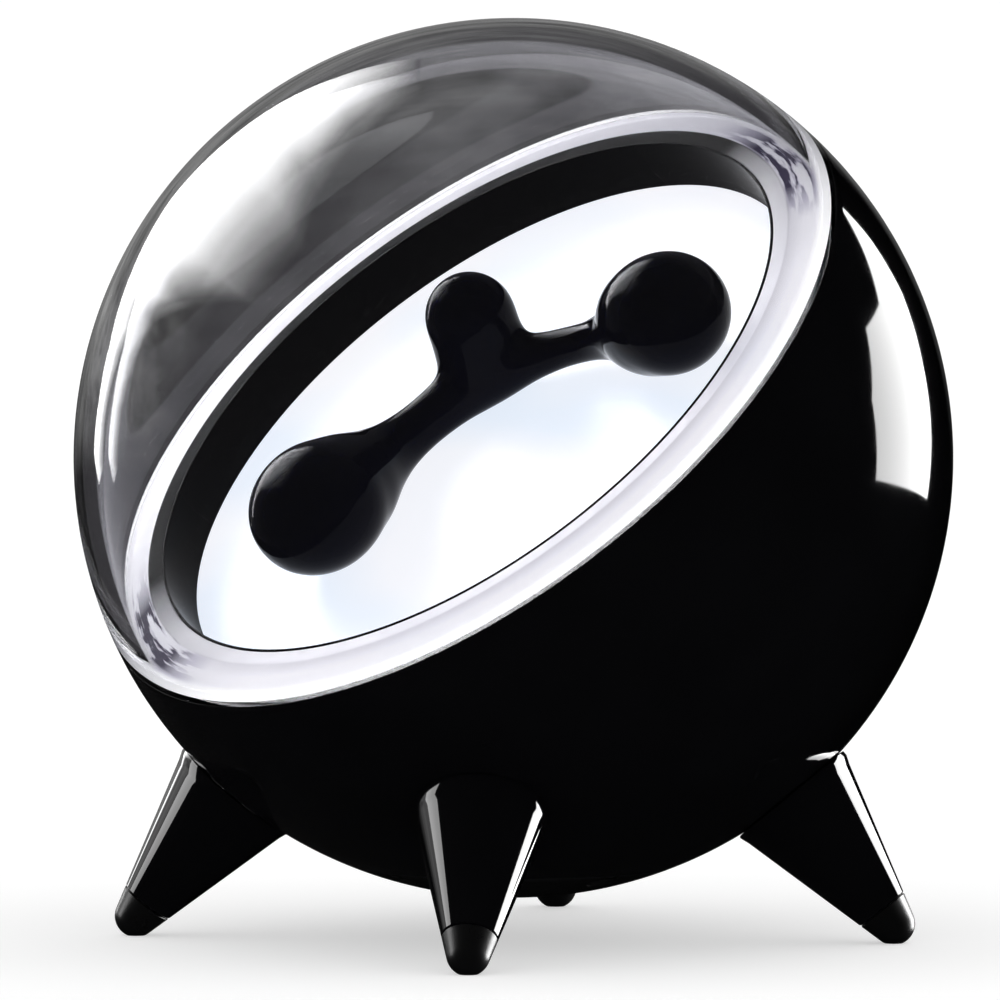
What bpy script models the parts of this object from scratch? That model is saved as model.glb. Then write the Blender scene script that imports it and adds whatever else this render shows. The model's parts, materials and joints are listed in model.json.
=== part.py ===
"""A magnetic desk sculpture: a black ball on four cone legs, with a tilted, lit display under a clear dome.

Inside, a geared motor turns a carrier with three magnets, and the magnets hold a black ferrofluid figure.
Units are metres. +Z is up, the display faces -Y, and the object stands on Z = 0, its ball over the origin.
"""

from math import atan2, cos, pi, radians, sin, sqrt, tan

import bmesh
import bpy
from mathutils import Matrix, Vector

MM = 0.001

# Driving dimensions.
BALL_R = 65.0 * MM  # the dome and the body share this outer radius
SHELL_WALL = 2.8 * MM
DOME_WALL = 3.2 * MM
TILT = radians(43.2)  # of the display's axis from vertical, towards -Y
RIM_Z = 12.6 * MM  # the plane where the body ends and the dome starts, along the display's axis
GAP = 0.3 * MM  # between neighbours that touch
STEPS = 36  # around large turned pieces
MIDDLE_STEPS = 20  # around legs, bearings and magnets
SMALL_STEPS = 16  # around feet and the button
SCREW_STEPS = 8
TOOL_REACH = 70.0 * MM  # how far from the ball's centre the cutting tools run
SHARP_ANGLE = radians(35)  # faces that meet at less than this look smooth

# Display stack: heights along the display's axis, and radii about it.
RIM_INNER_R = 62.5 * MM
SHELL_FLANGE_R = 57.5 * MM
SHELL_FLANGE = (3.5 * MM, 6.5 * MM)
CHASSIS_FLANGE_Z = 8.3 * MM
BEZEL_FLANGE_Z = 10.6 * MM
LIP_Z = 13.8 * MM
RECESS_R = 52.9 * MM
LIP_WALL = 0.7 * MM
LIP_SHOULDER_Z = 13.0 * MM
BEZEL_WALL = 1.5 * MM
LEDGE = (2.9 * MM, 3.7 * MM)
LEDGE_R = 51.2 * MM
DISC_TOP_Z = 5.6 * MM
DISC_R = 52.6 * MM
GUIDE_R = 50.9 * MM
GUIDE_Z = (1.2 * MM, 3.7 * MM)
REFLECTOR_Z = (0.3 * MM, 0.9 * MM)
LED_BOARD = (51.5 * MM, 53.2 * MM, 55.4 * MM)
LED_BOARD_Z = (-0.6 * MM, 0.4 * MM)
LED_HEIGHT = 1.8 * MM
LED_EVERY = 3  # one LED in this many steps
RING_SLOPE = ((60.0 * MM, 12.6 * MM), (57.5 * MM, 13.2 * MM), (55.2 * MM, 13.7 * MM))
RING_INNER_Z = 13.3 * MM
RIM_EDGE = 0.3 * MM  # chamfer at the top of the body's outer edge
DISC_EDGE = 0.2 * MM
RIM_SCREW_R = 60.0 * MM  # circle of the four screws under the ring
RIM_SCREW_AT = 45  # degrees, of the first of them
RIM_SCREW_TAPPED_R = 1.5 * MM
RIM_SCREW_SEAT_Z = 9.4 * MM

# Magnet drive.
MAGNET_R = 8.0 * MM
MAGNET_Z = (-4.8 * MM, -0.3 * MM)
MAGNET_EDGE = 0.4 * MM
MAGNET_PLACES = ((-9.5 * MM, -26.0 * MM), (-6.0 * MM, 10.0 * MM), (34.0 * MM, 14.0 * MM))
CARRIER_R = 48.0 * MM
CARRIER_Z = (-6.6 * MM, -0.9 * MM)
TOOTH_MODULE = 0.9 * MM
GEAR_TEETH = 56
PINION_TEETH = 14
GEAR_Z = (-10.4 * MM, -6.9 * MM)
GEAR_BACKLASH = 0.12 * MM
ROOT_WIDENING = 1.25  # of a tooth at its root, over its width at the pitch circle
CENTRE_SLACK = 0.10 * MM
TOOTH_ROOT = 1.1 * TOOTH_MODULE
TOOTH_TIP = 0.85 * TOOTH_MODULE
PRESSURE_ANGLE = radians(20)
SHAFT_R = 3.0 * MM
SHAFT_Z = (-21.2 * MM, -3.0 * MM)
BEARING_R = 6.5 * MM
BEARING_HEIGHT = 4.0 * MM
BEARING_LAND = 1.0 * MM  # what holds a bearing in, and clears the shaft
RACE_SLACK = 0.05 * MM
CHASSIS_R = 57.2 * MM
CHASSIS_WALL = 1.5 * MM
CHASSIS_FLOOR = (-13.2 * MM, -11.2 * MM)
CHASSIS_SHELF_R = 53.5 * MM
HUB_R = 9.3 * MM
HUB_Z = -21.5 * MM
MOTOR_R = 10.0 * MM
MOTOR_Z = (-37.0 * MM, -13.5 * MM)
MOTOR_SCREW_SPREAD = 7.0 * MM
MOTOR_SCREW_HOLE_R = 1.3 * MM
MOTOR_NOSE = (3.0 * MM, 2.7 * MM)  # radius and height
MOTOR_TAIL = (3.0 * MM, 1.0 * MM)
MOTOR_EDGE = 1.0 * MM
PINION_WELL_R = 3.3 * MM

# Lobes of the fluid in millimetres: middle across, up the slope and above the disc, then radii.
FLUID_LOBES = (
    ((-10.2, -25.2, 8.4), (10.4, 10.4, 8.4)),
    ((33.0, 17.0, 9.0), (9.3, 9.3, 9.0)),
    ((-5.6, 8.6, 6.0), (6.6, 6.6, 6.0)),
    ((-4.6, 10.9, 12.4), (6.4, 6.4, 6.8)),
    ((-11.5, -6.0, 4.2), (4.6, 13.5, 4.2)),
    ((12.5, 13.4, 4.0), (17.0, 4.8, 4.0)),
)

# Battery, board, socket and button.
BATTERY_R = 9.2 * MM
BATTERY_LENGTH = 65.0 * MM
BATTERY_AT = (8.0 * MM, -38.5 * MM)  # up the slope and along the display's axis
BATTERY_EDGE = 0.6 * MM
BATTERY_CAP = (3.0 * MM, 1.2 * MM)  # radius and height of the raised end
HOLDER_Z = (-41.0 * MM, -27.6 * MM)
HOLDER_SIZE = (72.0 * MM, 23.0 * MM)
STANDOFF_X = 26.0 * MM
STANDOFF_R = 3.0 * MM
BOARD_SIZE = (52.0 * MM, 38.0 * MM, 1.6 * MM)
BOARD_AT = (46.0 * MM, -6.0 * MM)  # its inner face along +Y, and its middle above the ball's centre
BOARD_POST_X = 21.0 * MM
BOARD_POST_Z = 8.0 * MM
BOARD_POST_R = 3.0 * MM
BOARD_POST_ROOT_Y = 58.5 * MM
BOARD_TAPPED_R = 1.2 * MM
BOARD_HOLE_R = 1.3 * MM
BOARD_HOLES_Y = (40.0 * MM, 57.0 * MM)
BOARD_CELLS = (8, 6)  # columns and rows that the chips stand on
CHIP_INSET = 0.6 * MM
CHIPS = {(3, 3): 1.6 * MM, (5, 2): 2.4 * MM, (1, 2): 2.0 * MM, (6, 4): 1.2 * MM, (3, 1): 1.0 * MM}
USB_Z = -16.0 * MM
USB_SIZE = (9.0 * MM, 3.2 * MM)
USB_OPENING = (8.4 * MM, 2.6 * MM)
USB_MOUTH_Y = 62.4 * MM
USB_ROUNDING = 1.2 * MM
USB_DEPTH = 6.5 * MM
TONGUE = (3.3 * MM, 6.2 * MM, 1.0 * MM, 0.35 * MM)  # half width, root and tip from the mouth, half height
WALL_CUT_Y = 50.0 * MM  # where the tools that cut the back wall start
BUTTON_Z = 2.0 * MM
BUTTON_R = 5.0 * MM
BUTTON_FACE_Y = 64.9 * MM
BUTTON_EDGE = 0.5 * MM
BUTTON_TRAVEL = 0.8 * MM
BUTTON_STEM_R = 2.0 * MM
COLLAR_R = 6.4 * MM
COLLAR_Y = (59.4 * MM, 60.6 * MM)
SWITCH_SIZE = 6.0 * MM
SWITCH_HEIGHT = 3.5 * MM

# Base opening, legs and feet.
COVER_R = 24.0 * MM
COVER_SEAT_Z = -57.2 * MM
COVER_SCREW_R = 20.9 * MM
COVER_SCREW_SEAT_Z = -59.7 * MM
COVER_HOLLOW = (16.0 * MM, -61.0 * MM)
CLEARANCE_R = 1.6 * MM  # holes and counterbores for the screws of the cover and the bezel
COUNTERBORE_R = 2.3 * MM
BOSS_R = 28.0 * MM
BOSS_TOP_Z = -53.5 * MM
BOSS_BORE_R = 18.4 * MM
BOSS_CUT_Z = (-60.0 * MM, -50.0 * MM)
LEG_SPREAD = radians(38.5)  # of each leg's axis from vertical
LEG_APEX_Z = 2.5 * MM  # where the legs' axes meet, above the ball's centre
LEG_TAPER = radians(15.3)  # half angle of the cone
TIP_R = 3.2 * MM
TIP_AT = 90.7 * MM  # from the apex to the centre of the tip's ball
TIP_SEAM = 88.0 * MM
FOOT_FLAT = 0.3 * MM
LEG_ROOT = 66.4 * MM  # where the cone reaches its full width
LEG_SEAT = 64.0 * MM  # where the root is drawn flat before it is laid on the ball
LEG_SEAT_R = 6.0 * MM  # radius of a ring of points on the seat
LEG_EDGE = (0.5 * MM, 0.4 * MM)  # chamfer at the root, across and along
LEG_BORE_END = 78.0 * MM
SPIGOT_R = 1.6 * MM
SPIGOT_END = 90.6 * MM
STUD_R = 2.0 * MM
STUD_HEAD_AT = 63.4 * MM
STUD_CUT = (55.0 * MM, 75.0 * MM)
LEG_AZIMUTHS = {"front_right": -45, "front_left": -135, "rear_left": 135, "rear_right": 45}

CENTRE_HEIGHT = TIP_AT * cos(LEG_SPREAD) - LEG_APEX_Z + TIP_R - FOOT_FLAT

# Colours as linear values, with roughness and metallic.
FINISHES = {
    "gloss_black": ((0.004, 0.004, 0.005), 0.06, 0.0),
    "satin_black": ((0.010, 0.010, 0.011), 0.45, 0.0),
    "rubber_black": ((0.012, 0.012, 0.012), 0.75, 0.0),
    "clear_dome": ((0.80, 0.80, 0.82), 0.02, 0.0),
    "ring_white": ((0.86, 0.86, 0.88), 0.35, 0.0),
    "diffuser_white": ((0.90, 0.91, 0.93), 0.40, 0.0),
    "guide_clear": ((0.85, 0.88, 0.90), 0.10, 0.0),
    "board_green": ((0.02, 0.10, 0.04), 0.50, 0.0),
    "magnet_nickel": ((0.62, 0.60, 0.56), 0.22, 1.0),
    "acetal_white": ((0.75, 0.75, 0.72), 0.45, 0.0),
    "steel": ((0.55, 0.55, 0.56), 0.28, 1.0),
    "brass": ((0.72, 0.50, 0.20), 0.30, 1.0),
    "zinc_steel": ((0.48, 0.49, 0.51), 0.35, 1.0),
    "battery_blue": ((0.03, 0.10, 0.32), 0.35, 0.0),
    "ferrofluid": ((0.002, 0.002, 0.003), 0.03, 0.0),
}


def clear_scene():
    """Remove every object that the open file holds."""
    for ob in list(bpy.data.objects):
        bpy.data.objects.remove(ob)


def finish(name):
    """The material of a finish in FINISHES, made once."""
    mat = bpy.data.materials.get(name)
    if mat is None:
        colour, roughness, metallic = FINISHES[name]
        mat = bpy.data.materials.new(name)
        mat.use_nodes = True
        shader = mat.node_tree.nodes["Principled BSDF"]
        shader.inputs["Base Color"].default_value = (*colour, 1.0)
        shader.inputs["Roughness"].default_value = roughness
        shader.inputs["Metallic"].default_value = metallic
        mat.diffuse_color = (*colour, 1.0)
    return mat


def empty(name, parent=None, location=(0, 0, 0), rotation=(0, 0, 0)):
    """An axis to hang pieces on."""
    ob = bpy.data.objects.new(name, None)
    bpy.context.collection.objects.link(ob)
    ob.parent = parent
    ob.location = location
    ob.rotation_euler = rotation
    return ob


def piece(name, bm, finish_name, parent=None, location=(0, 0, 0), rotation=(0, 0, 0)):
    """A named object from a bmesh, with its faces turned outwards and its round faces smooth."""
    bmesh.ops.remove_doubles(bm, verts=bm.verts, dist=1e-7)
    bmesh.ops.dissolve_degenerate(bm, edges=bm.edges, dist=1e-7)
    bmesh.ops.recalc_face_normals(bm, faces=bm.faces)
    mesh = bpy.data.meshes.new(name)
    bm.to_mesh(mesh)
    bm.free()
    mesh.materials.append(finish(finish_name))
    mesh.shade_smooth()
    mesh.set_sharp_from_angle(angle=SHARP_ANGLE)
    ob = bpy.data.objects.new(name, mesh)
    bpy.context.collection.objects.link(ob)
    ob.parent = parent
    ob.location = location
    ob.rotation_euler = rotation
    return ob


def guide(ob):
    """Mark an object as a tool for cutting or joining, not a piece."""
    ob.hide_render = True
    ob.display_type = "WIRE"
    return ob


def boolean(ob, tool, operation="DIFFERENCE"):
    """Cut or join an object with a tool."""
    mod = ob.modifiers.new(operation.lower(), "BOOLEAN")
    mod.operation = operation
    mod.object = tool
    mod.solver = "EXACT"


def arc(radius, start, end, count, centre=(0.0, 0.0)):
    """Points (r, z) along an arc, its angles in degrees from the +r direction."""
    angles = [radians(start + (end - start) * i / count) for i in range(count + 1)]
    return [(centre[0] + radius * cos(a), centre[1] + radius * sin(a)) for a in angles]


def latitude(radius, z):
    """The angle in degrees above a ball's equator at height z."""
    return atan2(z, sqrt(radius * radius - z * z)) * 180 / pi


def turn(bm, profile, steps=STEPS, centre=(0.0, 0.0), matrix=None):
    """Spin a closed (r, z) outline about the Z axis through centre into a solid."""
    verts = [bm.verts.new((max(r, 0.0), 0.0, z)) for r, z in profile]
    closed = all(r > 0 for r, _ in profile)
    pairs = list(zip(verts, verts[1:], strict=False))
    if closed:
        pairs.append((verts[-1], verts[0]))
    edges = [bm.edges.new(pair) for pair in pairs]
    bmesh.ops.spin(
        bm,
        geom=verts + edges,
        cent=(0, 0, 0),
        axis=(0, 0, 1),
        angle=2 * pi,
        steps=steps,
        use_merge=True,
    )
    for v in [v for v in bm.verts if not v.tag]:
        v.co.x += centre[0]
        v.co.y += centre[1]
        if matrix is not None:
            v.co = matrix @ v.co
        v.tag = True
    return bm


def turned(name, profile, finish_name, parent=None, steps=STEPS, **place):
    """A turned piece. An outline that starts and ends on the axis makes a solid one."""
    bm = turn(bmesh.new(), profile, steps)
    return piece(name, bm, finish_name, parent, **place)


def rod(radius, low, high):
    """The outline of a plain cylinder."""
    return [(0.0, low), (radius, low), (radius, high), (0.0, high)]


def ring(inner, outer, low, high):
    """The outline of a plain ring."""
    return [(inner, low), (outer, low), (outer, high), (inner, high)]


def add_box(bm, low, high):
    """Add a closed box between two corners."""
    size = Vector(high) - Vector(low)
    matrix = Matrix.Translation((Vector(low) + Vector(high)) / 2) @ Matrix.Diagonal((*size, 1.0))
    bmesh.ops.create_cube(bm, size=1.0, matrix=matrix)
    return bm


def along_y(x, z):
    """Turns a piece's own Z axis to +Y, through (x, z)."""
    return Matrix.Translation((x, 0, z)) @ Matrix.Rotation(radians(-90), 4, "X")


def circle(radius, first):
    """Four points on a circle, the first at an angle in degrees."""
    angles = [radians(first + 90 * i) for i in range(4)]
    return [(radius * cos(at), radius * sin(at)) for at in angles]


def stepped_hole(hole_r, wide_r, low, seat, high):
    """The outline of a hole that widens at a seat."""
    return [(0.0, low), (hole_r, low), (hole_r, seat), (wide_r, seat), (wide_r, high), (0.0, high)]


def screw(name, head, shank, parent, location, rotation=(0, 0, 0)):
    """A pan head (radius, height) with a drive recess over a plain shank (radius, length).

    Its origin is under the head.
    """
    head_r, head_h = head
    shank_r, length = shank
    recess_r = head_r * 0.4
    profile = [
        (0.0, head_h * 0.4),
        (recess_r, head_h * 0.4),
        (recess_r, head_h),
        (head_r * 0.8, head_h),
        (head_r, head_h * 0.7),
        (head_r, 0.0),
        (shank_r, 0.0),
        (shank_r, -length + shank_r * 0.5),
        (shank_r * 0.5, -length),
        (0.0, -length),
    ]
    return turned(name, profile, "zinc_steel", parent, SCREW_STEPS, location=location, rotation=rotation)


def involute(base_r, radius):
    """The angle that an involute has turned by at a radius."""
    ratio = max(radius / base_r, 1.0)
    grown = sqrt(ratio * ratio - 1)
    return grown - atan2(grown, 1.0)


def gear_outline(teeth, phase):
    """Points of a spur gear's outline. A tooth is centred on the angle phase."""
    pitch_r = teeth * TOOTH_MODULE / 2
    base_r = pitch_r * cos(PRESSURE_ANGLE)
    tooth_half = (pi * TOOTH_MODULE / 2 - GEAR_BACKLASH) / pitch_r / 2
    radii = [pitch_r - TOOTH_ROOT, pitch_r, pitch_r + TOOTH_TIP]
    at_pitch = involute(base_r, pitch_r)
    flank = [(r, tooth_half + at_pitch - involute(base_r, r)) for r in radii]
    flank[0] = (radii[0], tooth_half * ROOT_WIDENING)
    points = []
    for i in range(teeth):
        middle = phase + 2 * pi * i / teeth
        points += [(r * cos(middle - a), r * sin(middle - a)) for r, a in flank]
        points += [(r * cos(middle + a), r * sin(middle + a)) for r, a in reversed(flank)]
    return points


def add_prism(bm, outline, low, high):
    """Add a closed prism over an outline in the XY plane."""
    bottom = bm.faces.new([bm.verts.new((x, y, low)) for x, y in outline])
    raised = bmesh.ops.extrude_face_region(bm, geom=[bottom], use_keep_orig=True)
    verts = [g for g in raised["geom"] if isinstance(g, bmesh.types.BMVert)]
    bmesh.ops.translate(bm, verts=verts, vec=(0, 0, high - low))
    return bm


def leg_turn(azimuth):
    """The rotation of a leg's axis, which points down and outwards."""
    return (0, pi - LEG_SPREAD, radians(azimuth))


def build_shell(display, centre):
    """The glossy body: a bowl with a rim, a flange for the display and a boss round the base opening."""
    inner_r = BALL_R - SHELL_WALL
    low, high = SHELL_FLANGE
    rim_r = sqrt(BALL_R**2 - RIM_Z**2)
    profile = arc(BALL_R, -90, latitude(BALL_R, RIM_Z) - 0.4, 10)
    profile[0] = (0.0, -BALL_R)
    profile += [(rim_r - RIM_EDGE, RIM_Z), (RIM_INNER_R, RIM_Z), (RIM_INNER_R, high)]
    profile += [(SHELL_FLANGE_R, high), (SHELL_FLANGE_R, low)]
    profile += arc(inner_r, latitude(inner_r, low), -90, 9)[:-1] + [(0.0, -inner_r)]
    shell = turned("body_shell", profile, "gloss_black", display)

    bm = turn(bmesh.new(), rod(BOSS_R, COVER_SEAT_Z - GAP, BOSS_TOP_Z), STEPS)
    post_end = BOARD_AT[0] + BOARD_SIZE[2] + GAP
    for x in (-BOARD_POST_X, BOARD_POST_X):
        post = rod(BOARD_POST_R, post_end, BOARD_POST_ROOT_Y)
        turn(bm, post, SMALL_STEPS, matrix=along_y(x, BOARD_POST_Z))
    boolean(shell, guide(piece("shell_bosses", bm, "gloss_black", centre)), "UNION")

    bm = turn(bmesh.new(), rod(COVER_R, -TOOL_REACH, COVER_SEAT_Z), STEPS)
    boolean(shell, guide(piece("cover_seat", bm, "gloss_black", centre)))
    bm = turn(bmesh.new(), rod(BOSS_BORE_R, *BOSS_CUT_Z), STEPS)
    for place in circle(COVER_SCREW_R, 0):
        turn(bm, rod(CLEARANCE_R, *BOSS_CUT_Z), SCREW_STEPS, place)
    for x in (-BOARD_POST_X, BOARD_POST_X):
        turn(bm, rod(BOARD_TAPPED_R, *BOARD_HOLES_Y), SCREW_STEPS, matrix=along_y(x, BOARD_POST_Z))
    turn(bm, rod(BUTTON_R + GAP, WALL_CUT_Y, TOOL_REACH), SMALL_STEPS, matrix=along_y(0, BUTTON_Z))
    for azimuth in LEG_AZIMUTHS.values():
        matrix = Matrix.Translation((0, 0, LEG_APEX_Z)) @ Matrix.Rotation(radians(azimuth), 4, "Z")
        matrix = matrix @ Matrix.Rotation(pi - LEG_SPREAD, 4, "Y")
        turn(bm, rod(STUD_R + GAP, *STUD_CUT), SMALL_STEPS, matrix=matrix)
    half_x, half_z = USB_SIZE[0] / 2 + GAP, USB_SIZE[1] / 2 + GAP
    add_box(bm, (-half_x, WALL_CUT_Y, USB_Z - half_z), (half_x, TOOL_REACH, USB_Z + half_z))
    boolean(shell, guide(piece("shell_openings", bm, "gloss_black", centre)))

    bm = bmesh.new()
    for place in circle(RIM_SCREW_R, RIM_SCREW_AT):
        turn(bm, rod(RIM_SCREW_TAPPED_R, 0, CHASSIS_FLANGE_Z), SCREW_STEPS, place)
    boolean(shell, guide(piece("flange_holes", bm, "gloss_black", display)))


def build_base(centre):
    """The round cover under the body, with four screws."""
    edge_r = COVER_R - GAP
    top = COVER_SEAT_Z - GAP
    edge_low = -sqrt(BALL_R**2 - edge_r**2)
    hollow_r, hollow_z = COVER_HOLLOW
    profile = arc(BALL_R, -90, latitude(BALL_R, edge_low), 3)
    profile[0] = (0.0, -BALL_R)
    profile += [(edge_r, top), (hollow_r, top), (hollow_r, hollow_z), (0.0, hollow_z)]
    cover = turned("base_cover", profile, "satin_black", centre)
    hole = stepped_hole(COUNTERBORE_R, CLEARANCE_R, -TOOL_REACH, COVER_SCREW_SEAT_Z, BOSS_CUT_Z[1])
    bm = bmesh.new()
    for i, place in enumerate(circle(COVER_SCREW_R, 0)):
        turn(bm, hole, SCREW_STEPS, place)
        where = (*place, COVER_SCREW_SEAT_Z - GAP)
        screw(f"base_screw_{i + 1}", (2.0 * MM, 1.0 * MM), (1.3 * MM, 5.5 * MM), centre, where, (pi, 0, 0))
    boolean(cover, guide(piece("cover_holes", bm, "satin_black", centre)))


def leg_radius(along):
    """The cone's radius at a distance from the apex."""
    return TIP_R / cos(LEG_TAPER) + (TIP_AT - along) * tan(LEG_TAPER)


def build_legs(centre):
    """Four cone legs, each with a rubber foot and a stud that holds it to the body."""
    bore_r = STUD_R + GAP
    root_r = leg_radius(LEG_ROOT)
    edge_across, edge_along = LEG_EDGE
    leg = [(0.0, LEG_BORE_END), (bore_r, LEG_BORE_END), (bore_r, LEG_SEAT), (LEG_SEAT_R, LEG_SEAT)]
    leg += [(root_r - edge_across, LEG_SEAT), (root_r, LEG_ROOT + edge_along)]
    leg += [(leg_radius(TIP_SEAM), TIP_SEAM), (SPIGOT_R, TIP_SEAM)]
    leg += [(SPIGOT_R, SPIGOT_END), (0.0, SPIGOT_END)]
    foot = [(0.0, SPIGOT_END + GAP), (SPIGOT_R + GAP, SPIGOT_END + GAP), (SPIGOT_R + GAP, TIP_SEAM + GAP)]
    foot += [(leg_radius(TIP_SEAM + GAP), TIP_SEAM + GAP)]
    foot += arc(TIP_R, LEG_TAPER * 180 / pi, 90, 5, (0.0, TIP_AT))[:-1] + [(0.0, TIP_AT + TIP_R)]
    for name, azimuth in LEG_AZIMUTHS.items():
        axis = empty(f"leg_axis_{name}", centre, (0, 0, LEG_APEX_Z), leg_turn(azimuth))
        turned_leg = turned(f"leg_{name}", leg, "gloss_black", axis, MIDDLE_STEPS)
        seat_on_ball(turned_leg.data)
        bm = turn(bmesh.new(), foot, SMALL_STEPS)
        flatten_foot(bm)
        piece(f"foot_{name}", bm, "rubber_black", axis)
        where = (0, 0, STUD_HEAD_AT)
        screw(f"leg_stud_{name}", (3.5 * MM, 2.0 * MM), (STUD_R, 14.0 * MM), axis, where, (pi, 0, 0))


def seat_on_ball(mesh):
    """Lay a leg's root, which is drawn flat, on the body's ball with a gap."""
    middle = Matrix.Rotation(-(pi - LEG_SPREAD), 4, "Y") @ Vector((0, 0, -LEG_APEX_Z))
    reach = BALL_R + GAP
    for v in mesh.vertices:
        if v.co.z < LEG_SEAT + 0.1 * MM:
            aside = (v.co.x - middle.x) ** 2 + (v.co.y - middle.y) ** 2
            v.co.z = middle.z + sqrt(reach**2 - aside)


def flatten_foot(bm):
    """Cut a foot's ball flat on the ground."""
    down = Matrix.Rotation(-(pi - LEG_SPREAD), 4, "Y") @ Vector((0, 0, -1))
    ground = Vector((0, 0, TIP_AT)) + down * (TIP_R - FOOT_FLAT)
    geometry = bm.verts[:] + bm.edges[:] + bm.faces[:]
    bmesh.ops.bisect_plane(bm, geom=geometry, dist=1e-6, plane_co=ground, plane_no=down, clear_outer=True)
    bmesh.ops.holes_fill(bm, edges=[e for e in bm.edges if e.is_boundary])


def build_display(display):
    """The dome, the white ring, the black recess, the lit disc and what lights it."""
    inner_r = BALL_R - DOME_WALL
    base = RIM_Z + GAP
    dome = [(0.0, inner_r)] + arc(inner_r, 90, latitude(inner_r, base), 8)[1:]
    dome += arc(BALL_R, latitude(BALL_R, base), 90, 8)[:-1] + [(0.0, BALL_R)]
    turned("clear_dome", dome, "clear_dome", display)

    wall_r = RECESS_R + BEZEL_WALL
    under = BEZEL_FLANGE_Z + GAP
    edge_r = RIM_INNER_R - GAP
    light_ring = [(wall_r + GAP, under), (edge_r, under), (edge_r, RIM_Z - DISC_EDGE)]
    light_ring += [(edge_r - DISC_EDGE, RIM_Z), *RING_SLOPE, (wall_r + GAP, RING_INNER_Z)]
    turned("light_ring", light_ring, "ring_white", display)

    low, high = LEDGE
    flange_z = CHASSIS_FLANGE_Z + GAP
    bezel = [(LEDGE_R, low), (wall_r, low), (wall_r, flange_z), (edge_r, flange_z)]
    bezel += [(edge_r, BEZEL_FLANGE_Z), (wall_r, BEZEL_FLANGE_Z), (wall_r, LIP_SHOULDER_Z)]
    bezel += [(RECESS_R + LIP_WALL, LIP_Z), (RECESS_R, LIP_Z), (RECESS_R, high), (LEDGE_R, high)]
    bezel_ob = turned("recess_bezel", bezel, "satin_black", display)
    hole = stepped_hole(CLEARANCE_R, COUNTERBORE_R, 0.0, RIM_SCREW_SEAT_Z, RIM_Z)
    bm = bmesh.new()
    for i, place in enumerate(circle(RIM_SCREW_R, RIM_SCREW_AT)):
        turn(bm, hole, SCREW_STEPS, place)
        where = (*place, RIM_SCREW_SEAT_Z + GAP)
        screw(f"bezel_screw_{i + 1}", (2.0 * MM, 0.8 * MM), (1.2 * MM, 5.6 * MM), display, where)
    boolean(bezel_ob, guide(piece("bezel_holes", bm, "satin_black", display)))

    disc_low = high + GAP
    disc = [(0.0, disc_low), (DISC_R, disc_low), (DISC_R, DISC_TOP_Z - DISC_EDGE)]
    disc += [(DISC_R - DISC_EDGE, DISC_TOP_Z), (0.0, DISC_TOP_Z)]
    turned("display_disc", disc, "diffuser_white", display)
    turned("light_guide", rod(GUIDE_R, *GUIDE_Z), "guide_clear", display)
    turned("reflector", rod(GUIDE_R, *REFLECTOR_Z), "ring_white", display)
    build_led_board(display)


def build_led_board(display):
    """A ring board under the ledge, with LEDs that face the light guide's edge."""
    inner, middle, outer = LED_BOARD
    low, high = LED_BOARD_Z
    bm = turn(bmesh.new(), [(inner, low), (outer, low), (outer, high), (middle, high), (inner, high)], STEPS)
    step = 2 * pi / STEPS
    bases = []
    for face in bm.faces:
        at = face.calc_center_median()
        number = int(atan2(at.y, at.x) / step + STEPS) % STEPS
        on_top = abs(at.z - high) < 1e-6 and at.xy.length < middle
        if on_top and number % LED_EVERY == 0:
            bases.append(face)
    raised = bmesh.ops.extrude_discrete_faces(bm, faces=bases)["faces"]
    bmesh.ops.delete(bm, geom=[f for f in bases if f.is_valid], context="FACES_ONLY")
    for face in raised:
        bmesh.ops.translate(bm, verts=face.verts, vec=(0, 0, LED_HEIGHT))
    close_walls(bm, raised, high)
    piece("led_board", bm, "board_green", display)


def close_walls(bm, tops, low):
    """Wall in each raised top down to the plane at height low."""
    for top in tops:
        feet = {v: bm.verts.new((v.co.x, v.co.y, low)) for v in top.verts}
        for edge in list(top.edges):
            a, b = edge.verts
            bm.faces.new((a, b, feet[b], feet[a]))


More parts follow.
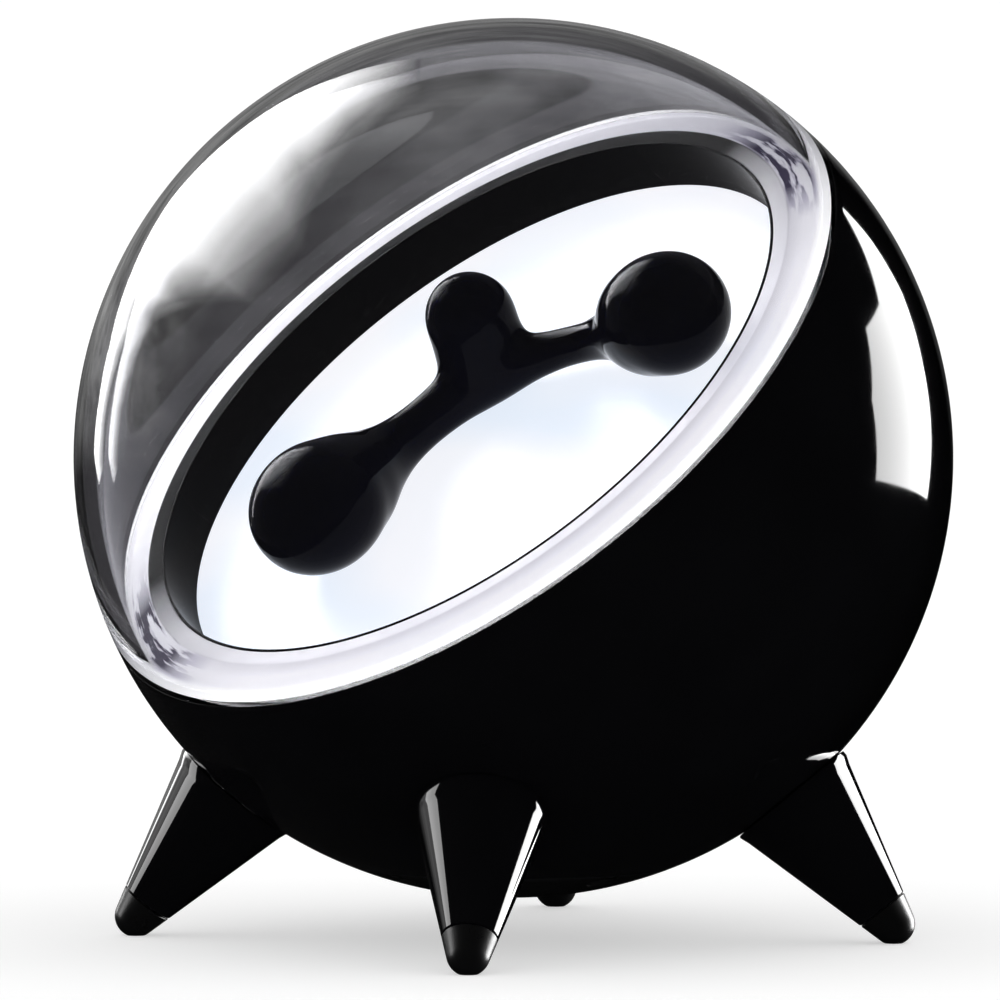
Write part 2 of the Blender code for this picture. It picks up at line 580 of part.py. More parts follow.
def build_drive(display):
    """The chassis, the magnet carrier with its gear and bearings, and the motor with its pinion."""
    floor_low, floor_high = CHASSIS_FLOOR
    inner_r = CHASSIS_R - CHASSIS_WALL
    shelf_z = LED_BOARD_Z[0] - GAP
    seat_z = HUB_Z + BEARING_LAND
    shaft_hole = SHAFT_R + BEARING_LAND
    bearing_bore = BEARING_R + GAP
    chassis = [(shaft_hole, HUB_Z), (HUB_R, HUB_Z), (HUB_R, floor_low), (CHASSIS_R, floor_low)]
    chassis += [(CHASSIS_R, SHELL_FLANGE[1] + GAP), (RIM_INNER_R - GAP, SHELL_FLANGE[1] + GAP)]
    chassis += [(RIM_INNER_R - GAP, CHASSIS_FLANGE_Z), (inner_r, CHASSIS_FLANGE_Z), (inner_r, shelf_z)]
    chassis += [(CHASSIS_SHELF_R, shelf_z), (CHASSIS_SHELF_R, floor_high), (bearing_bore, floor_high)]
    chassis += [(bearing_bore, seat_z), (shaft_hole, seat_z)]
    chassis_ob = turned("chassis", chassis, "satin_black", display)

    centre_distance = (GEAR_TEETH + PINION_TEETH) * TOOTH_MODULE / 2 + CENTRE_SLACK
    bm = turn(bmesh.new(), rod(PINION_WELL_R, HUB_Z, 0), SMALL_STEPS, (0, -centre_distance))
    for x in (-MOTOR_SCREW_SPREAD, MOTOR_SCREW_SPREAD):
        turn(bm, rod(MOTOR_SCREW_HOLE_R, HUB_Z, 0), SCREW_STEPS, (x, -centre_distance))
        where = (x, -centre_distance, floor_high + GAP)
        name = "motor_screw_left" if x < 0 else "motor_screw_right"
        screw(name, (1.7 * MM, 0.45 * MM), (1.0 * MM, 5.0 * MM), display, where)
    for place in circle(RIM_SCREW_R, RIM_SCREW_AT):
        turn(bm, rod(RIM_SCREW_TAPPED_R, 0, RIM_Z), SCREW_STEPS, place)
    boolean(chassis_ob, guide(piece("chassis_holes", bm, "satin_black", display)))

    low = seat_z + GAP
    for name in ("lower_bearing", "upper_bearing"):
        race = ring(SHAFT_R + RACE_SLACK, BEARING_R, low, low + BEARING_HEIGHT)
        turned(name, race, "steel", display, MIDDLE_STEPS)
        low += BEARING_HEIGHT + GAP

    rotor = empty("magnet_axis", display)
    shaft_low, shaft_high = SHAFT_Z
    turned("carrier_shaft", rod(SHAFT_R, shaft_low, shaft_high), "steel", rotor, MIDDLE_STEPS)
    carrier = turned("magnet_carrier", rod(CARRIER_R, *CARRIER_Z), "acetal_white", rotor)
    bm = turn(bmesh.new(), rod(SHAFT_R + GAP, GEAR_Z[0], shaft_high + GAP), MIDDLE_STEPS)
    pocket_floor = MAGNET_Z[0] - GAP
    for place in MAGNET_PLACES:
        turn(bm, rod(MAGNET_R + GAP, pocket_floor, 0), MIDDLE_STEPS, place)
    boolean(carrier, guide(piece("carrier_pockets", bm, "acetal_white", rotor)))
    low, high = MAGNET_Z
    magnet = [(0.0, low), (MAGNET_R, low), (MAGNET_R, high - MAGNET_EDGE)]
    magnet += [(MAGNET_R - MAGNET_EDGE, high), (0.0, high)]
    for name, place in zip(("lower", "middle", "side"), MAGNET_PLACES, strict=True):
        bm = turn(bmesh.new(), magnet, MIDDLE_STEPS, place)
        piece(f"magnet_{name}", bm, "magnet_nickel", rotor)

    quarter = -pi / 2
    bm = add_prism(bmesh.new(), gear_outline(GEAR_TEETH, quarter), *GEAR_Z)
    gear = piece("carrier_gear", bm, "brass", rotor)
    bm = turn(bmesh.new(), rod(SHAFT_R + GAP, HUB_Z, 0), MIDDLE_STEPS)
    boolean(gear, guide(piece("gear_bore", bm, "brass", rotor)))

    pinion_axis = empty("pinion_axis", display, (0, -centre_distance, 0))
    phase = -quarter + pi / PINION_TEETH
    bm = add_prism(bmesh.new(), gear_outline(PINION_TEETH, phase), *GEAR_Z)
    piece("motor_pinion", bm, "brass", pinion_axis)

    low, high = MOTOR_Z
    nose_r, nose_height = MOTOR_NOSE
    tail_r, tail_height = MOTOR_TAIL
    back = low + tail_height
    motor = [(0.0, low), (tail_r, low), (tail_r, back), (MOTOR_R - MOTOR_EDGE, back)]
    motor += [(MOTOR_R, back + MOTOR_EDGE), (MOTOR_R, high), (nose_r, high), (nose_r, high + nose_height)]
    motor += [(0.0, high + nose_height)]
    motor_ob = turned("gear_motor", motor, "steel", pinion_axis, MIDDLE_STEPS)
    bm = bmesh.new()
    for x in (-MOTOR_SCREW_SPREAD, MOTOR_SCREW_SPREAD):
        turn(bm, rod(MOTOR_SCREW_HOLE_R, high - 3.2 * MM, 0), SCREW_STEPS, (x, 0))
    boolean(motor_ob, guide(piece("motor_holes", bm, "steel", pinion_axis)))


def build_power(display, centre):
    """The battery in its holder, the main board, the charging socket, the switch and its button."""
    up_slope, along = BATTERY_AT
    half_x, half_y = HOLDER_SIZE[0] / 2, HOLDER_SIZE[1] / 2
    low, high = HOLDER_Z
    bm = add_box(bmesh.new(), (-half_x, up_slope - half_y, low), (half_x, up_slope + half_y, high))
    holder = piece("battery_holder", bm, "satin_black", display)
    lying = Matrix.Translation((0, up_slope, along)) @ Matrix.Rotation(radians(90), 4, "Y")
    half = BATTERY_LENGTH / 2
    slack = 2 * GAP
    bm = turn(bmesh.new(), rod(BATTERY_R + GAP, -half - slack, half + slack), MIDDLE_STEPS, matrix=lying)
    boolean(holder, guide(piece("holder_hollow", bm, "satin_black", display)))
    cap_r, cap_height = BATTERY_CAP
    shoulder = half - cap_height
    cell = [(0.0, -half), (BATTERY_R - BATTERY_EDGE, -half), (BATTERY_R, -half + BATTERY_EDGE)]
    cell += [(BATTERY_R, shoulder - BATTERY_EDGE), (BATTERY_R - BATTERY_EDGE, shoulder), (cap_r, shoulder)]
    cell += [(cap_r, half), (0.0, half)]
    piece("battery_cell", turn(bmesh.new(), cell, MIDDLE_STEPS, matrix=lying), "battery_blue", display)
    for name, x in (("standoff_left", -STANDOFF_X), ("standoff_right", STANDOFF_X)):
        profile = rod(STANDOFF_R, high + GAP, CHASSIS_FLOOR[0] - GAP)
        turned(name, profile, "brass", display, 6, location=(x, up_slope, 0))

    build_board(centre)
    board_back = BOARD_AT[0] + BOARD_SIZE[2] + GAP
    half_x, half_z = USB_SIZE[0] / 2, USB_SIZE[1] / 2
    bm = add_box(bmesh.new(), (-half_x, board_back, -half_z), (half_x, USB_MOUTH_Y, half_z))
    bmesh.ops.bevel(
        bm,
        geom=[e for e in bm.edges if abs(e.verts[0].co.y - e.verts[1].co.y) > 1 * MM],
        offset=USB_ROUNDING,
        segments=3,
        profile=0.5,
        affect="EDGES",
    )
    socket = piece("usb_socket", bm, "steel", centre, location=(0, 0, USB_Z))
    half_x, half_z = USB_OPENING[0] / 2, USB_OPENING[1] / 2
    bm = add_box(bmesh.new(), (-half_x, USB_MOUTH_Y - USB_DEPTH, -half_z), (half_x, TOOL_REACH, half_z))
    boolean(socket, guide(piece("socket_hollow", bm, "steel", centre, location=(0, 0, USB_Z))))
    half_x, root, tip, half_z = TONGUE
    bm = add_box(bmesh.new(), (-half_x, USB_MOUTH_Y - root, -half_z), (half_x, USB_MOUTH_Y - tip, half_z))
    piece("socket_tongue", bm, "satin_black", centre, location=(0, 0, USB_Z))

    half = SWITCH_SIZE / 2
    body_end = board_back + SWITCH_HEIGHT
    bm = add_box(bmesh.new(), (-half, board_back, BUTTON_Z - half), (half, body_end, BUTTON_Z + half))
    piece("tact_switch", bm, "satin_black", centre)
    button_axis = empty("button_axis", centre, (0, 0, BUTTON_Z), (radians(-90), 0, 0))
    stem_end = body_end + GAP + BUTTON_TRAVEL
    low, high = COLLAR_Y
    button = [(0.0, stem_end), (BUTTON_STEM_R, stem_end), (BUTTON_STEM_R, low), (COLLAR_R, low)]
    button += [(COLLAR_R, high), (BUTTON_R, high), (BUTTON_R, BUTTON_FACE_Y - BUTTON_EDGE)]
    button += [(BUTTON_R - BUTTON_EDGE, BUTTON_FACE_Y), (0.0, BUTTON_FACE_Y)]
    turned("power_button", button, "satin_black", button_axis, SMALL_STEPS)


def build_board(centre):
    """The main board, with raised chips on its inner face and two screws into the body's posts."""
    width, height, thick = BOARD_SIZE
    inner, middle = BOARD_AT
    columns, rows = BOARD_CELLS
    bm = bmesh.new()
    matrix = Matrix.Translation((0, inner, middle)) @ Matrix.Rotation(radians(90), 4, "X")
    spread = Matrix.Diagonal((width, height, 1, 1))
    bmesh.ops.create_grid(bm, x_segments=columns, y_segments=rows, size=0.5, matrix=spread)
    chosen = []
    for face in bm.faces:
        at = face.calc_center_median()
        cell = (int((at.x / width + 0.5) * columns), int((at.y / height + 0.5) * rows))
        if cell in CHIPS:
            chosen.append((face, CHIPS[cell]))
    plate = bm.faces[:]
    lowered = bmesh.ops.extrude_face_region(bm, geom=plate, use_keep_orig=True)
    verts = [g for g in lowered["geom"] if isinstance(g, bmesh.types.BMVert)]
    bmesh.ops.translate(bm, verts=verts, vec=(0, 0, -thick))
    for face, tall in chosen:
        bmesh.ops.inset_individual(bm, faces=[face], thickness=CHIP_INSET)
        raised = bmesh.ops.extrude_face_region(bm, geom=[face])
        tops = [g for g in raised["geom"] if isinstance(g, bmesh.types.BMVert)]
        bmesh.ops.translate(bm, verts=tops, vec=(0, 0, tall))
        bmesh.ops.delete(bm, geom=[face], context="FACES_ONLY")
    bmesh.ops.transform(bm, matrix=matrix, verts=bm.verts)
    board = piece("main_board", bm, "board_green", centre)
    bm = bmesh.new()
    for x in (-BOARD_POST_X, BOARD_POST_X):
        turn(bm, rod(BOARD_HOLE_R, *BOARD_HOLES_Y), SCREW_STEPS, matrix=along_y(x, BOARD_POST_Z))
        where = (x, inner - GAP, BOARD_POST_Z)
        name = "board_screw_left" if x < 0 else "board_screw_right"
        screw(name, (2.0 * MM, 1.2 * MM), (0.9 * MM, 7.0 * MM), centre, where, (radians(90), 0, 0))
    boolean(board, guide(piece("board_holes", bm, "board_green", centre)))


def build_fluid(display):
    """The ferrofluid: three round lobes, one over each magnet, joined by low necks."""
    axis = empty("fluid_axis", display)
    floor = DISC_TOP_Z + GAP
    figure = None
    for i, (middle, radii) in enumerate(FLUID_LOBES):
        bm = bmesh.new()
        bmesh.ops.create_uvsphere(bm, u_segments=14, v_segments=8, radius=MM)
        bmesh.ops.scale(bm, verts=bm.verts, vec=radii)
        bmesh.ops.translate(bm, verts=bm.verts, vec=Vector(middle) * MM + Vector((0, 0, floor)))
        if figure is None:
            figure = piece("fluid_figure", bm, "ferrofluid", axis)
        else:
            boolean(figure, guide(piece(f"fluid_lobe_{i}", bm, "ferrofluid", axis)), "UNION")


def main():
    clear_scene()
    centre = empty("ball_centre", location=(0, 0, CENTRE_HEIGHT))
    display = empty("display_axis", centre, rotation=(TILT, 0, 0))
    build_shell(display, centre)
    build_base(centre)
    build_legs(centre)
    build_display(display)
    build_drive(display)
    build_power(display, centre)
    build_fluid(display)


main()
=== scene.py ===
"""Looks of a magnetic desk sculpture: a gloss black ball on cone legs, with a lit ferrofluid display.

Every size is in metres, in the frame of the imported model. The display's own pieces are drawn about its
tilted axis and then laid in place, so that each finished mesh stands where the model has it.
"""

import json
import logging
from collections.abc import Callable, Iterable
from dataclasses import dataclass, field
from enum import Enum
from math import acos, asin, atan2, cos, degrees, pi, radians, sin, sqrt, tan

import bmesh
import bpy
from mathutils import Matrix, Vector

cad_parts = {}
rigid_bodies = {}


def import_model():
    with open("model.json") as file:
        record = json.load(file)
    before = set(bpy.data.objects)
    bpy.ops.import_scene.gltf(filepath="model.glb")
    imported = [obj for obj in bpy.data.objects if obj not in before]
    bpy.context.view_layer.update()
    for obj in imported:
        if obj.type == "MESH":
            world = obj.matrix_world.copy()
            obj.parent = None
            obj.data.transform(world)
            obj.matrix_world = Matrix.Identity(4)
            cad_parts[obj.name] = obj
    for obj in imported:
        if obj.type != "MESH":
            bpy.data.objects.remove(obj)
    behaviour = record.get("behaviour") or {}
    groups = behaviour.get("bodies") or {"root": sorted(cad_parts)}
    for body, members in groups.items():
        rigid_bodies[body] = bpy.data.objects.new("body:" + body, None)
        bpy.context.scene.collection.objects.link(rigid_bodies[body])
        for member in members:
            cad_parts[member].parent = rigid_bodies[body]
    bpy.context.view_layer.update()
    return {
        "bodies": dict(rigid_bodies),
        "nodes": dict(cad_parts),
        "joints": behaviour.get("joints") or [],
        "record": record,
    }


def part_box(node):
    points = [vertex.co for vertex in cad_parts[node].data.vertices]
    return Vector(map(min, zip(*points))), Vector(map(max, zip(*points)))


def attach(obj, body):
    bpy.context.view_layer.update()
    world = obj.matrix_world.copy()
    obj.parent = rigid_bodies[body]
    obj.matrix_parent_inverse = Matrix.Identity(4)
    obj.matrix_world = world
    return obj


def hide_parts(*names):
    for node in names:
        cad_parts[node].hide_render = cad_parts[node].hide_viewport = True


LOG = logging.getLogger("sculpture")

MM = 0.001
FINE_STEPS = 192
MEDIUM_STEPS = 96
SMALL_STEPS = 48
SHARP_ANGLE = radians(35)

Profile = list[tuple[float, float]]
Colour = tuple[float, float, float]


class Body(Enum):
    """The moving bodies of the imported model."""

    BASE = "base"
    ROTOR = "magnet_rotor"
    PINION = "pinion"
    FLUID = "fluid"
    BUTTON = "button"


# --- Drawing -------------------------------------------------------------------------------------


def arc(radius: float, start: float, end: float, count: int, centre: tuple[float, float] = (0.0, 0.0)) -> Profile:
    """Points (r, z) along an arc.

    Args:
        radius: the arc's radius.
        start: its first angle in degrees, from the direction of growing r.
        end: its last angle in degrees.
        count: how many steps it takes.
        centre: the arc's centre as (r, z).

    Returns:
        count + 1 points.
    """
    angles = [radians(start + (end - start) * i / count) for i in range(count + 1)]
    return [(centre[0] + radius * cos(a), centre[1] + radius * sin(a)) for a in angles]


def latitude(radius: float, height: float) -> float:
    """The angle in degrees above a ball's equator at a height above its centre."""
    return degrees(asin(height / radius))


def rounded(corners: Iterable[tuple[float, float, float]], count: int = 4) -> Profile:
    """A closed outline whose corners are rounded.

    Args:
        corners: points (r, z, radius) in order, each with its own rounding radius.
        count: how many steps each rounding takes.

    Returns:
        The outline's points.
    """
    points = list(corners)
    outline: Profile = []
    for i, (r, z, radius) in enumerate(points):
        here = Vector((r, z))
        before = (Vector(points[i - 1][:2]) - here).normalized()
        after = (Vector(points[(i + 1) % len(points)][:2]) - here).normalized()
        half = acos(max(-1.0, min(1.0, before.dot(after)))) / 2
        if radius <= 0 or half > radians(88):
            outline.append((r, z))
            continue
        reach = radius / tan(half)
        middle = here + (before + after).normalized() * (radius / sin(half))
        first = here + before * reach - middle
        last = here + after * reach - middle
        sweep = first.angle_signed(last)
        for k in range(count + 1):
            turn = Matrix.Rotation(-sweep * k / count, 2)
            outline.append(tuple(middle + turn @ first))
    return outline


def turn(bm: bmesh.types.BMesh, profile: Profile, steps: int, matrix: Matrix = Matrix()) -> bmesh.types.BMesh:
    """Spin an outline about the Z axis and lay the result by a matrix.

    Args:
        bm: the mesh to add to.
        profile: points (r, z); one that starts on the axis also ends there.
        steps: how many sides the turned shape has.
        matrix: where the shape goes.

    Returns:
        The same mesh.
    """
    own = bmesh.new()
    verts = [own.verts.new((max(r, 0.0), 0.0, z)) for r, z in profile]
    pairs = list(zip(verts, verts[1:], strict=False))
    if all(r > 1e-7 for r, _ in profile):
        pairs.append((verts[-1], verts[0]))
    edges = [own.edges.new(pair) for pair in pairs]
    bmesh.ops.spin(
        own,
        geom=verts + edges,
        cent=(0, 0, 0),
        axis=(0, 0, 1),
        angle=2 * pi,
        steps=steps,
        use_merge=True,
    )
    bmesh.ops.remove_doubles(own, verts=own.verts, dist=1e-7)
    bmesh.ops.dissolve_degenerate(own, edges=own.edges, dist=1e-7)
    bmesh.ops.recalc_face_normals(own, faces=own.faces)
    bmesh.ops.transform(own, matrix=matrix, verts=own.verts)
    return absorb(bm, own)


def absorb(bm: bmesh.types.BMesh, own: bmesh.types.BMesh) -> bmesh.types.BMesh:
    """Move all of one mesh into another, and free the first."""
    scrap = bpy.data.meshes.new("scrap")
    own.to_mesh(scrap)
    own.free()
    bm.from_mesh(scrap)
    bpy.data.meshes.remove(scrap)
    return bm


def rod(radius: float, low: float, high: float) -> Profile:
    """The outline of a plain cylinder."""
    return [(0.0, low), (radius, low), (radius, high), (0.0, high)]


def box(bm: bmesh.types.BMesh, low: Vector, high: Vector, rounding: float = 0.0, axis: int = 1) -> bmesh.types.BMesh:
    """Add a box between two corners.

    Args:
        bm: the mesh to add to.
        low: its lowest corner.
        high: its highest corner.
        rounding: the radius of the edges that run along one axis.
        axis: that axis, from 0 for X to 2 for Z.

    Returns:
        The same mesh.
    """
    own = bmesh.new()
    size = Vector(high) - Vector(low)
    middle = (Vector(low) + Vector(high)) / 2
    bmesh.ops.create_cube(own, size=1.0, matrix=Matrix.Translation(middle) @ Matrix.Diagonal((*size, 1.0)))
    if rounding > 0:
        runs = [e for e in own.edges if abs(e.verts[0].co[axis] - e.verts[1].co[axis]) > size[axis] / 2]
        bmesh.ops.bevel(
            own, geom=runs, offset=rounding, segments=8, profile=0.5, affect="EDGES", material=-1
        )
    return absorb(bm, own)


def thing(name: str, bm: bmesh.types.BMesh) -> bpy.types.Object:
    """Make a shown object from a mesh, with its round faces smooth."""
    mesh = bpy.data.meshes.new(name)
    bm.to_mesh(mesh)
    bm.free()
    mesh.shade_smooth()
    mesh.set_sharp_from_angle(angle=SHARP_ANGLE)
    ob = bpy.data.objects.new(name, mesh)
    bpy.context.collection.objects.link(ob)
    return ob


def settle(ob: bpy.types.Object) -> None:
    """Apply all of an object's modifiers to its mesh."""
    graph = bpy.context.evaluated_depsgraph_get()
    made = bpy.data.meshes.new_from_object(ob.evaluated_get(graph))
    old = ob.data
    name = old.name
    ob.modifiers.clear()
    ob.data = made
    bpy.data.meshes.remove(old)
    made.name = name
    made.shade_smooth()
    made.set_sharp_from_angle(angle=SHARP_ANGLE)


def carve(ob: bpy.types.Object, tool: bmesh.types.BMesh, operation: str = "DIFFERENCE") -> None:
    """Cut an object with a closed mesh, or join that mesh to it.

    Args:
        ob: the object to change.
        tool: the mesh to work with, which is used up.
        operation: DIFFERENCE or UNION.
    """
    cutter = thing("tool", tool)
    mod = ob.modifiers.new("work", "BOOLEAN")
    mod.operation = operation
    mod.object = cutter
    mod.solver = "EXACT"
    settle(ob)
    mesh = cutter.data
    bpy.data.objects.remove(cutter)
    bpy.data.meshes.remove(mesh)


# --- Finishes ------------------------------------------------------------------------------------


class Sheet:
    """A material's node sheet, with short ways to add and join nodes."""

    def __init__(self, name: str) -> None:
        """Start a material with only its output node."""
        self.material = bpy.data.materials.new(name)
        self.material.use_nodes = True
        self.tree = self.material.node_tree
        self.tree.nodes.clear()
        self.out = self.tree.nodes.new("ShaderNodeOutputMaterial")
        self.at = self.tree.nodes.new("ShaderNodeTexCoord").outputs["Object"]

    def add(self, kind: str, links: dict | None = None, values: dict | None = None, **settings: object) -> bpy.types.Node:
        """Add a node.

        Args:
            kind: the node's type name without its ShaderNode prefix.
            links: input name to the output that feeds it.
            values: input name to its plain value.
            settings: the node's own properties.

        Returns:
            The new node.
        """
        node = self.tree.nodes.new("ShaderNode" + kind)
        for key, value in settings.items():
            setattr(node, key, value)
        for key, value in (values or {}).items():
            node.inputs[key].default_value = value
        for key, source in (links or {}).items():
            self.tree.links.new(source, node.inputs[key])
        return node

    def noise(self, scale: float, detail: float = 3.0, roughness: float = 0.5, at=None) -> bpy.types.NodeSocket:
        """A noise pattern's height, on object coordinates unless others are given."""
        values = {"Scale": scale, "Detail": detail, "Roughness": roughness}
        return self.add("TexNoise", {"Vector": at or self.at}, values).outputs["Fac"]

    def span(self, source: bpy.types.NodeSocket, low: float, high: float, start: float = 0.0, end: float = 1.0):
        """Map a value from start..end to low..high."""
        values = {"From Min": start, "From Max": end, "To Min": low, "To Max": high}
        return self.add("MapRange", {"Value": source}, values).outputs["Result"]

    def ramp(self, source: bpy.types.NodeSocket, stops: list[tuple[float, Colour]]) -> bpy.types.NodeSocket:
        """Colours along a value."""
        node = self.add("ValToRGB", {"Fac": source})
        elements = node.color_ramp.elements
        while len(elements) < len(stops):
            elements.new(0.5)
        for element, (place, colour) in zip(elements, stops, strict=True):
            element.position = place
            element.color = (*colour, 1.0)
        return node.outputs["Color"]

    def mix(self, factor: bpy.types.NodeSocket | None, a, b, blend: str) -> bpy.types.NodeSocket:
        """Blend two colours; without a factor the second takes full effect."""
        node = self.add("Mix", data_type="RGBA", blend_type=blend)
        sockets = {name: [s for s in node.inputs if s.name == name and s.enabled][0] for name in ("Factor", "A", "B")}
        sockets["Factor"].default_value = 1.0
        if factor is not None:
            self.tree.links.new(factor, sockets["Factor"])
        self.tree.links.new(a, sockets["A"])
        self.tree.links.new(b, sockets["B"])
        return [out for out in node.outputs if out.enabled][0]

    def bump(self, source: bpy.types.NodeSocket, depth: float, strength: float = 1.0) -> bpy.types.NodeSocket:
        """A normal from a height pattern of a real depth."""
        node = self.add("Bump", {"Height": source}, {"Distance": depth, "Strength": strength})
        return node.outputs["Normal"]

    def shader(self, links: dict, values: dict) -> bpy.types.Node:
        """The Principled shader, joined to the output."""
        node = self.add("BsdfPrincipled", links, values)
        self.tree.links.new(node.outputs[0], self.out.inputs["Surface"])
        return node


@dataclass(frozen=True)
class Moulded:
    """A moulded or lacquered surface with a slow tone change, fine grain and uneven gloss."""

    name: str
    slot: str
    dark: Colour
    light: Colour
    gloss: tuple[float, float]  # roughness from least to most
    grain: float = 900.0  # grains to the metre
    depth: float = 0.0  # of the grain
    specular: float = 0.5
    coat: float = 0.0
    transmission: float = 0.0

    def material(self) -> bpy.types.Material:
        """Build the material."""
        sheet = Sheet(self.name)
        tone = sheet.noise(60.0, 4.0)
        wear = sheet.noise(220.0, 5.0, 0.65)
        links = {
            "Base Color": sheet.ramp(tone, [(0.3, self.dark), (0.7, self.light)]),
            "Roughness": sheet.span(wear, *self.gloss, 0.3, 0.7),
        }
        if self.depth > 0:
            links["Normal"] = sheet.bump(sheet.noise(self.grain, 3.0), self.depth)
        values = {"Specular IOR Level": self.specular, "Coat Weight": self.coat, "Coat Roughness": 0.03}
        values["Transmission Weight"] = self.transmission
        sheet.shader(links, values)
        return sheet.material


@dataclass(frozen=True)
class Metal:
    """A machined, plated or ground metal, with fine lines and faint stains."""

    name: str
    slot: str
    dark: Colour
    light: Colour
    gloss: tuple[float, float]
    stretch: tuple[float, float, float] = (400.0, 400.0, 6000.0)  # lines to the metre along each axis
    depth: float = 0.00001

    def material(self) -> bpy.types.Material:
        """Build the material."""
        sheet = Sheet(self.name)
        lined = sheet.add("Mapping", {"Vector": sheet.at}, {"Scale": self.stretch}).outputs["Vector"]
        lines = sheet.noise(1.0, 3.0, 0.6, lined)
        stains = sheet.noise(150.0, 5.0, 0.6)
        links = {
            "Base Color": sheet.ramp(stains, [(0.35, self.dark), (0.65, self.light)]),
            "Roughness": sheet.span(lines, *self.gloss, 0.3, 0.7),
            "Normal": sheet.bump(lines, self.depth, 0.5),
        }
        sheet.shader(links, {"Metallic": 1.0})
        return sheet.material


@dataclass(frozen=True)
class ClearWall:
    """A polished clear dome with a faint smoke tint, a trace of haze and next to no lens effect."""

    name: str
    slot: str
    tint: Colour
    ior: float = 1.08
    coat_ior: float = 1.49

    def material(self) -> bpy.types.Material:
        """Build the material."""
        sheet = Sheet(self.name)
        slow = sheet.noise(18.0, 2.0)
        bright = tuple(min(1.0, c * 1.04) for c in self.tint)
        links = {
            "Base Color": sheet.ramp(slow, [(0.3, self.tint), (0.7, bright)]),
            "Roughness": sheet.span(sheet.noise(500.0, 4.0), 0.0, 0.004, 0.35, 0.75),
        }
        sheet.shader(
            links,
            {"Transmission Weight": 1.0, "IOR": self.ior, "Coat Weight": 0.75, "Coat IOR": self.coat_ior},
        )
        return sheet.material


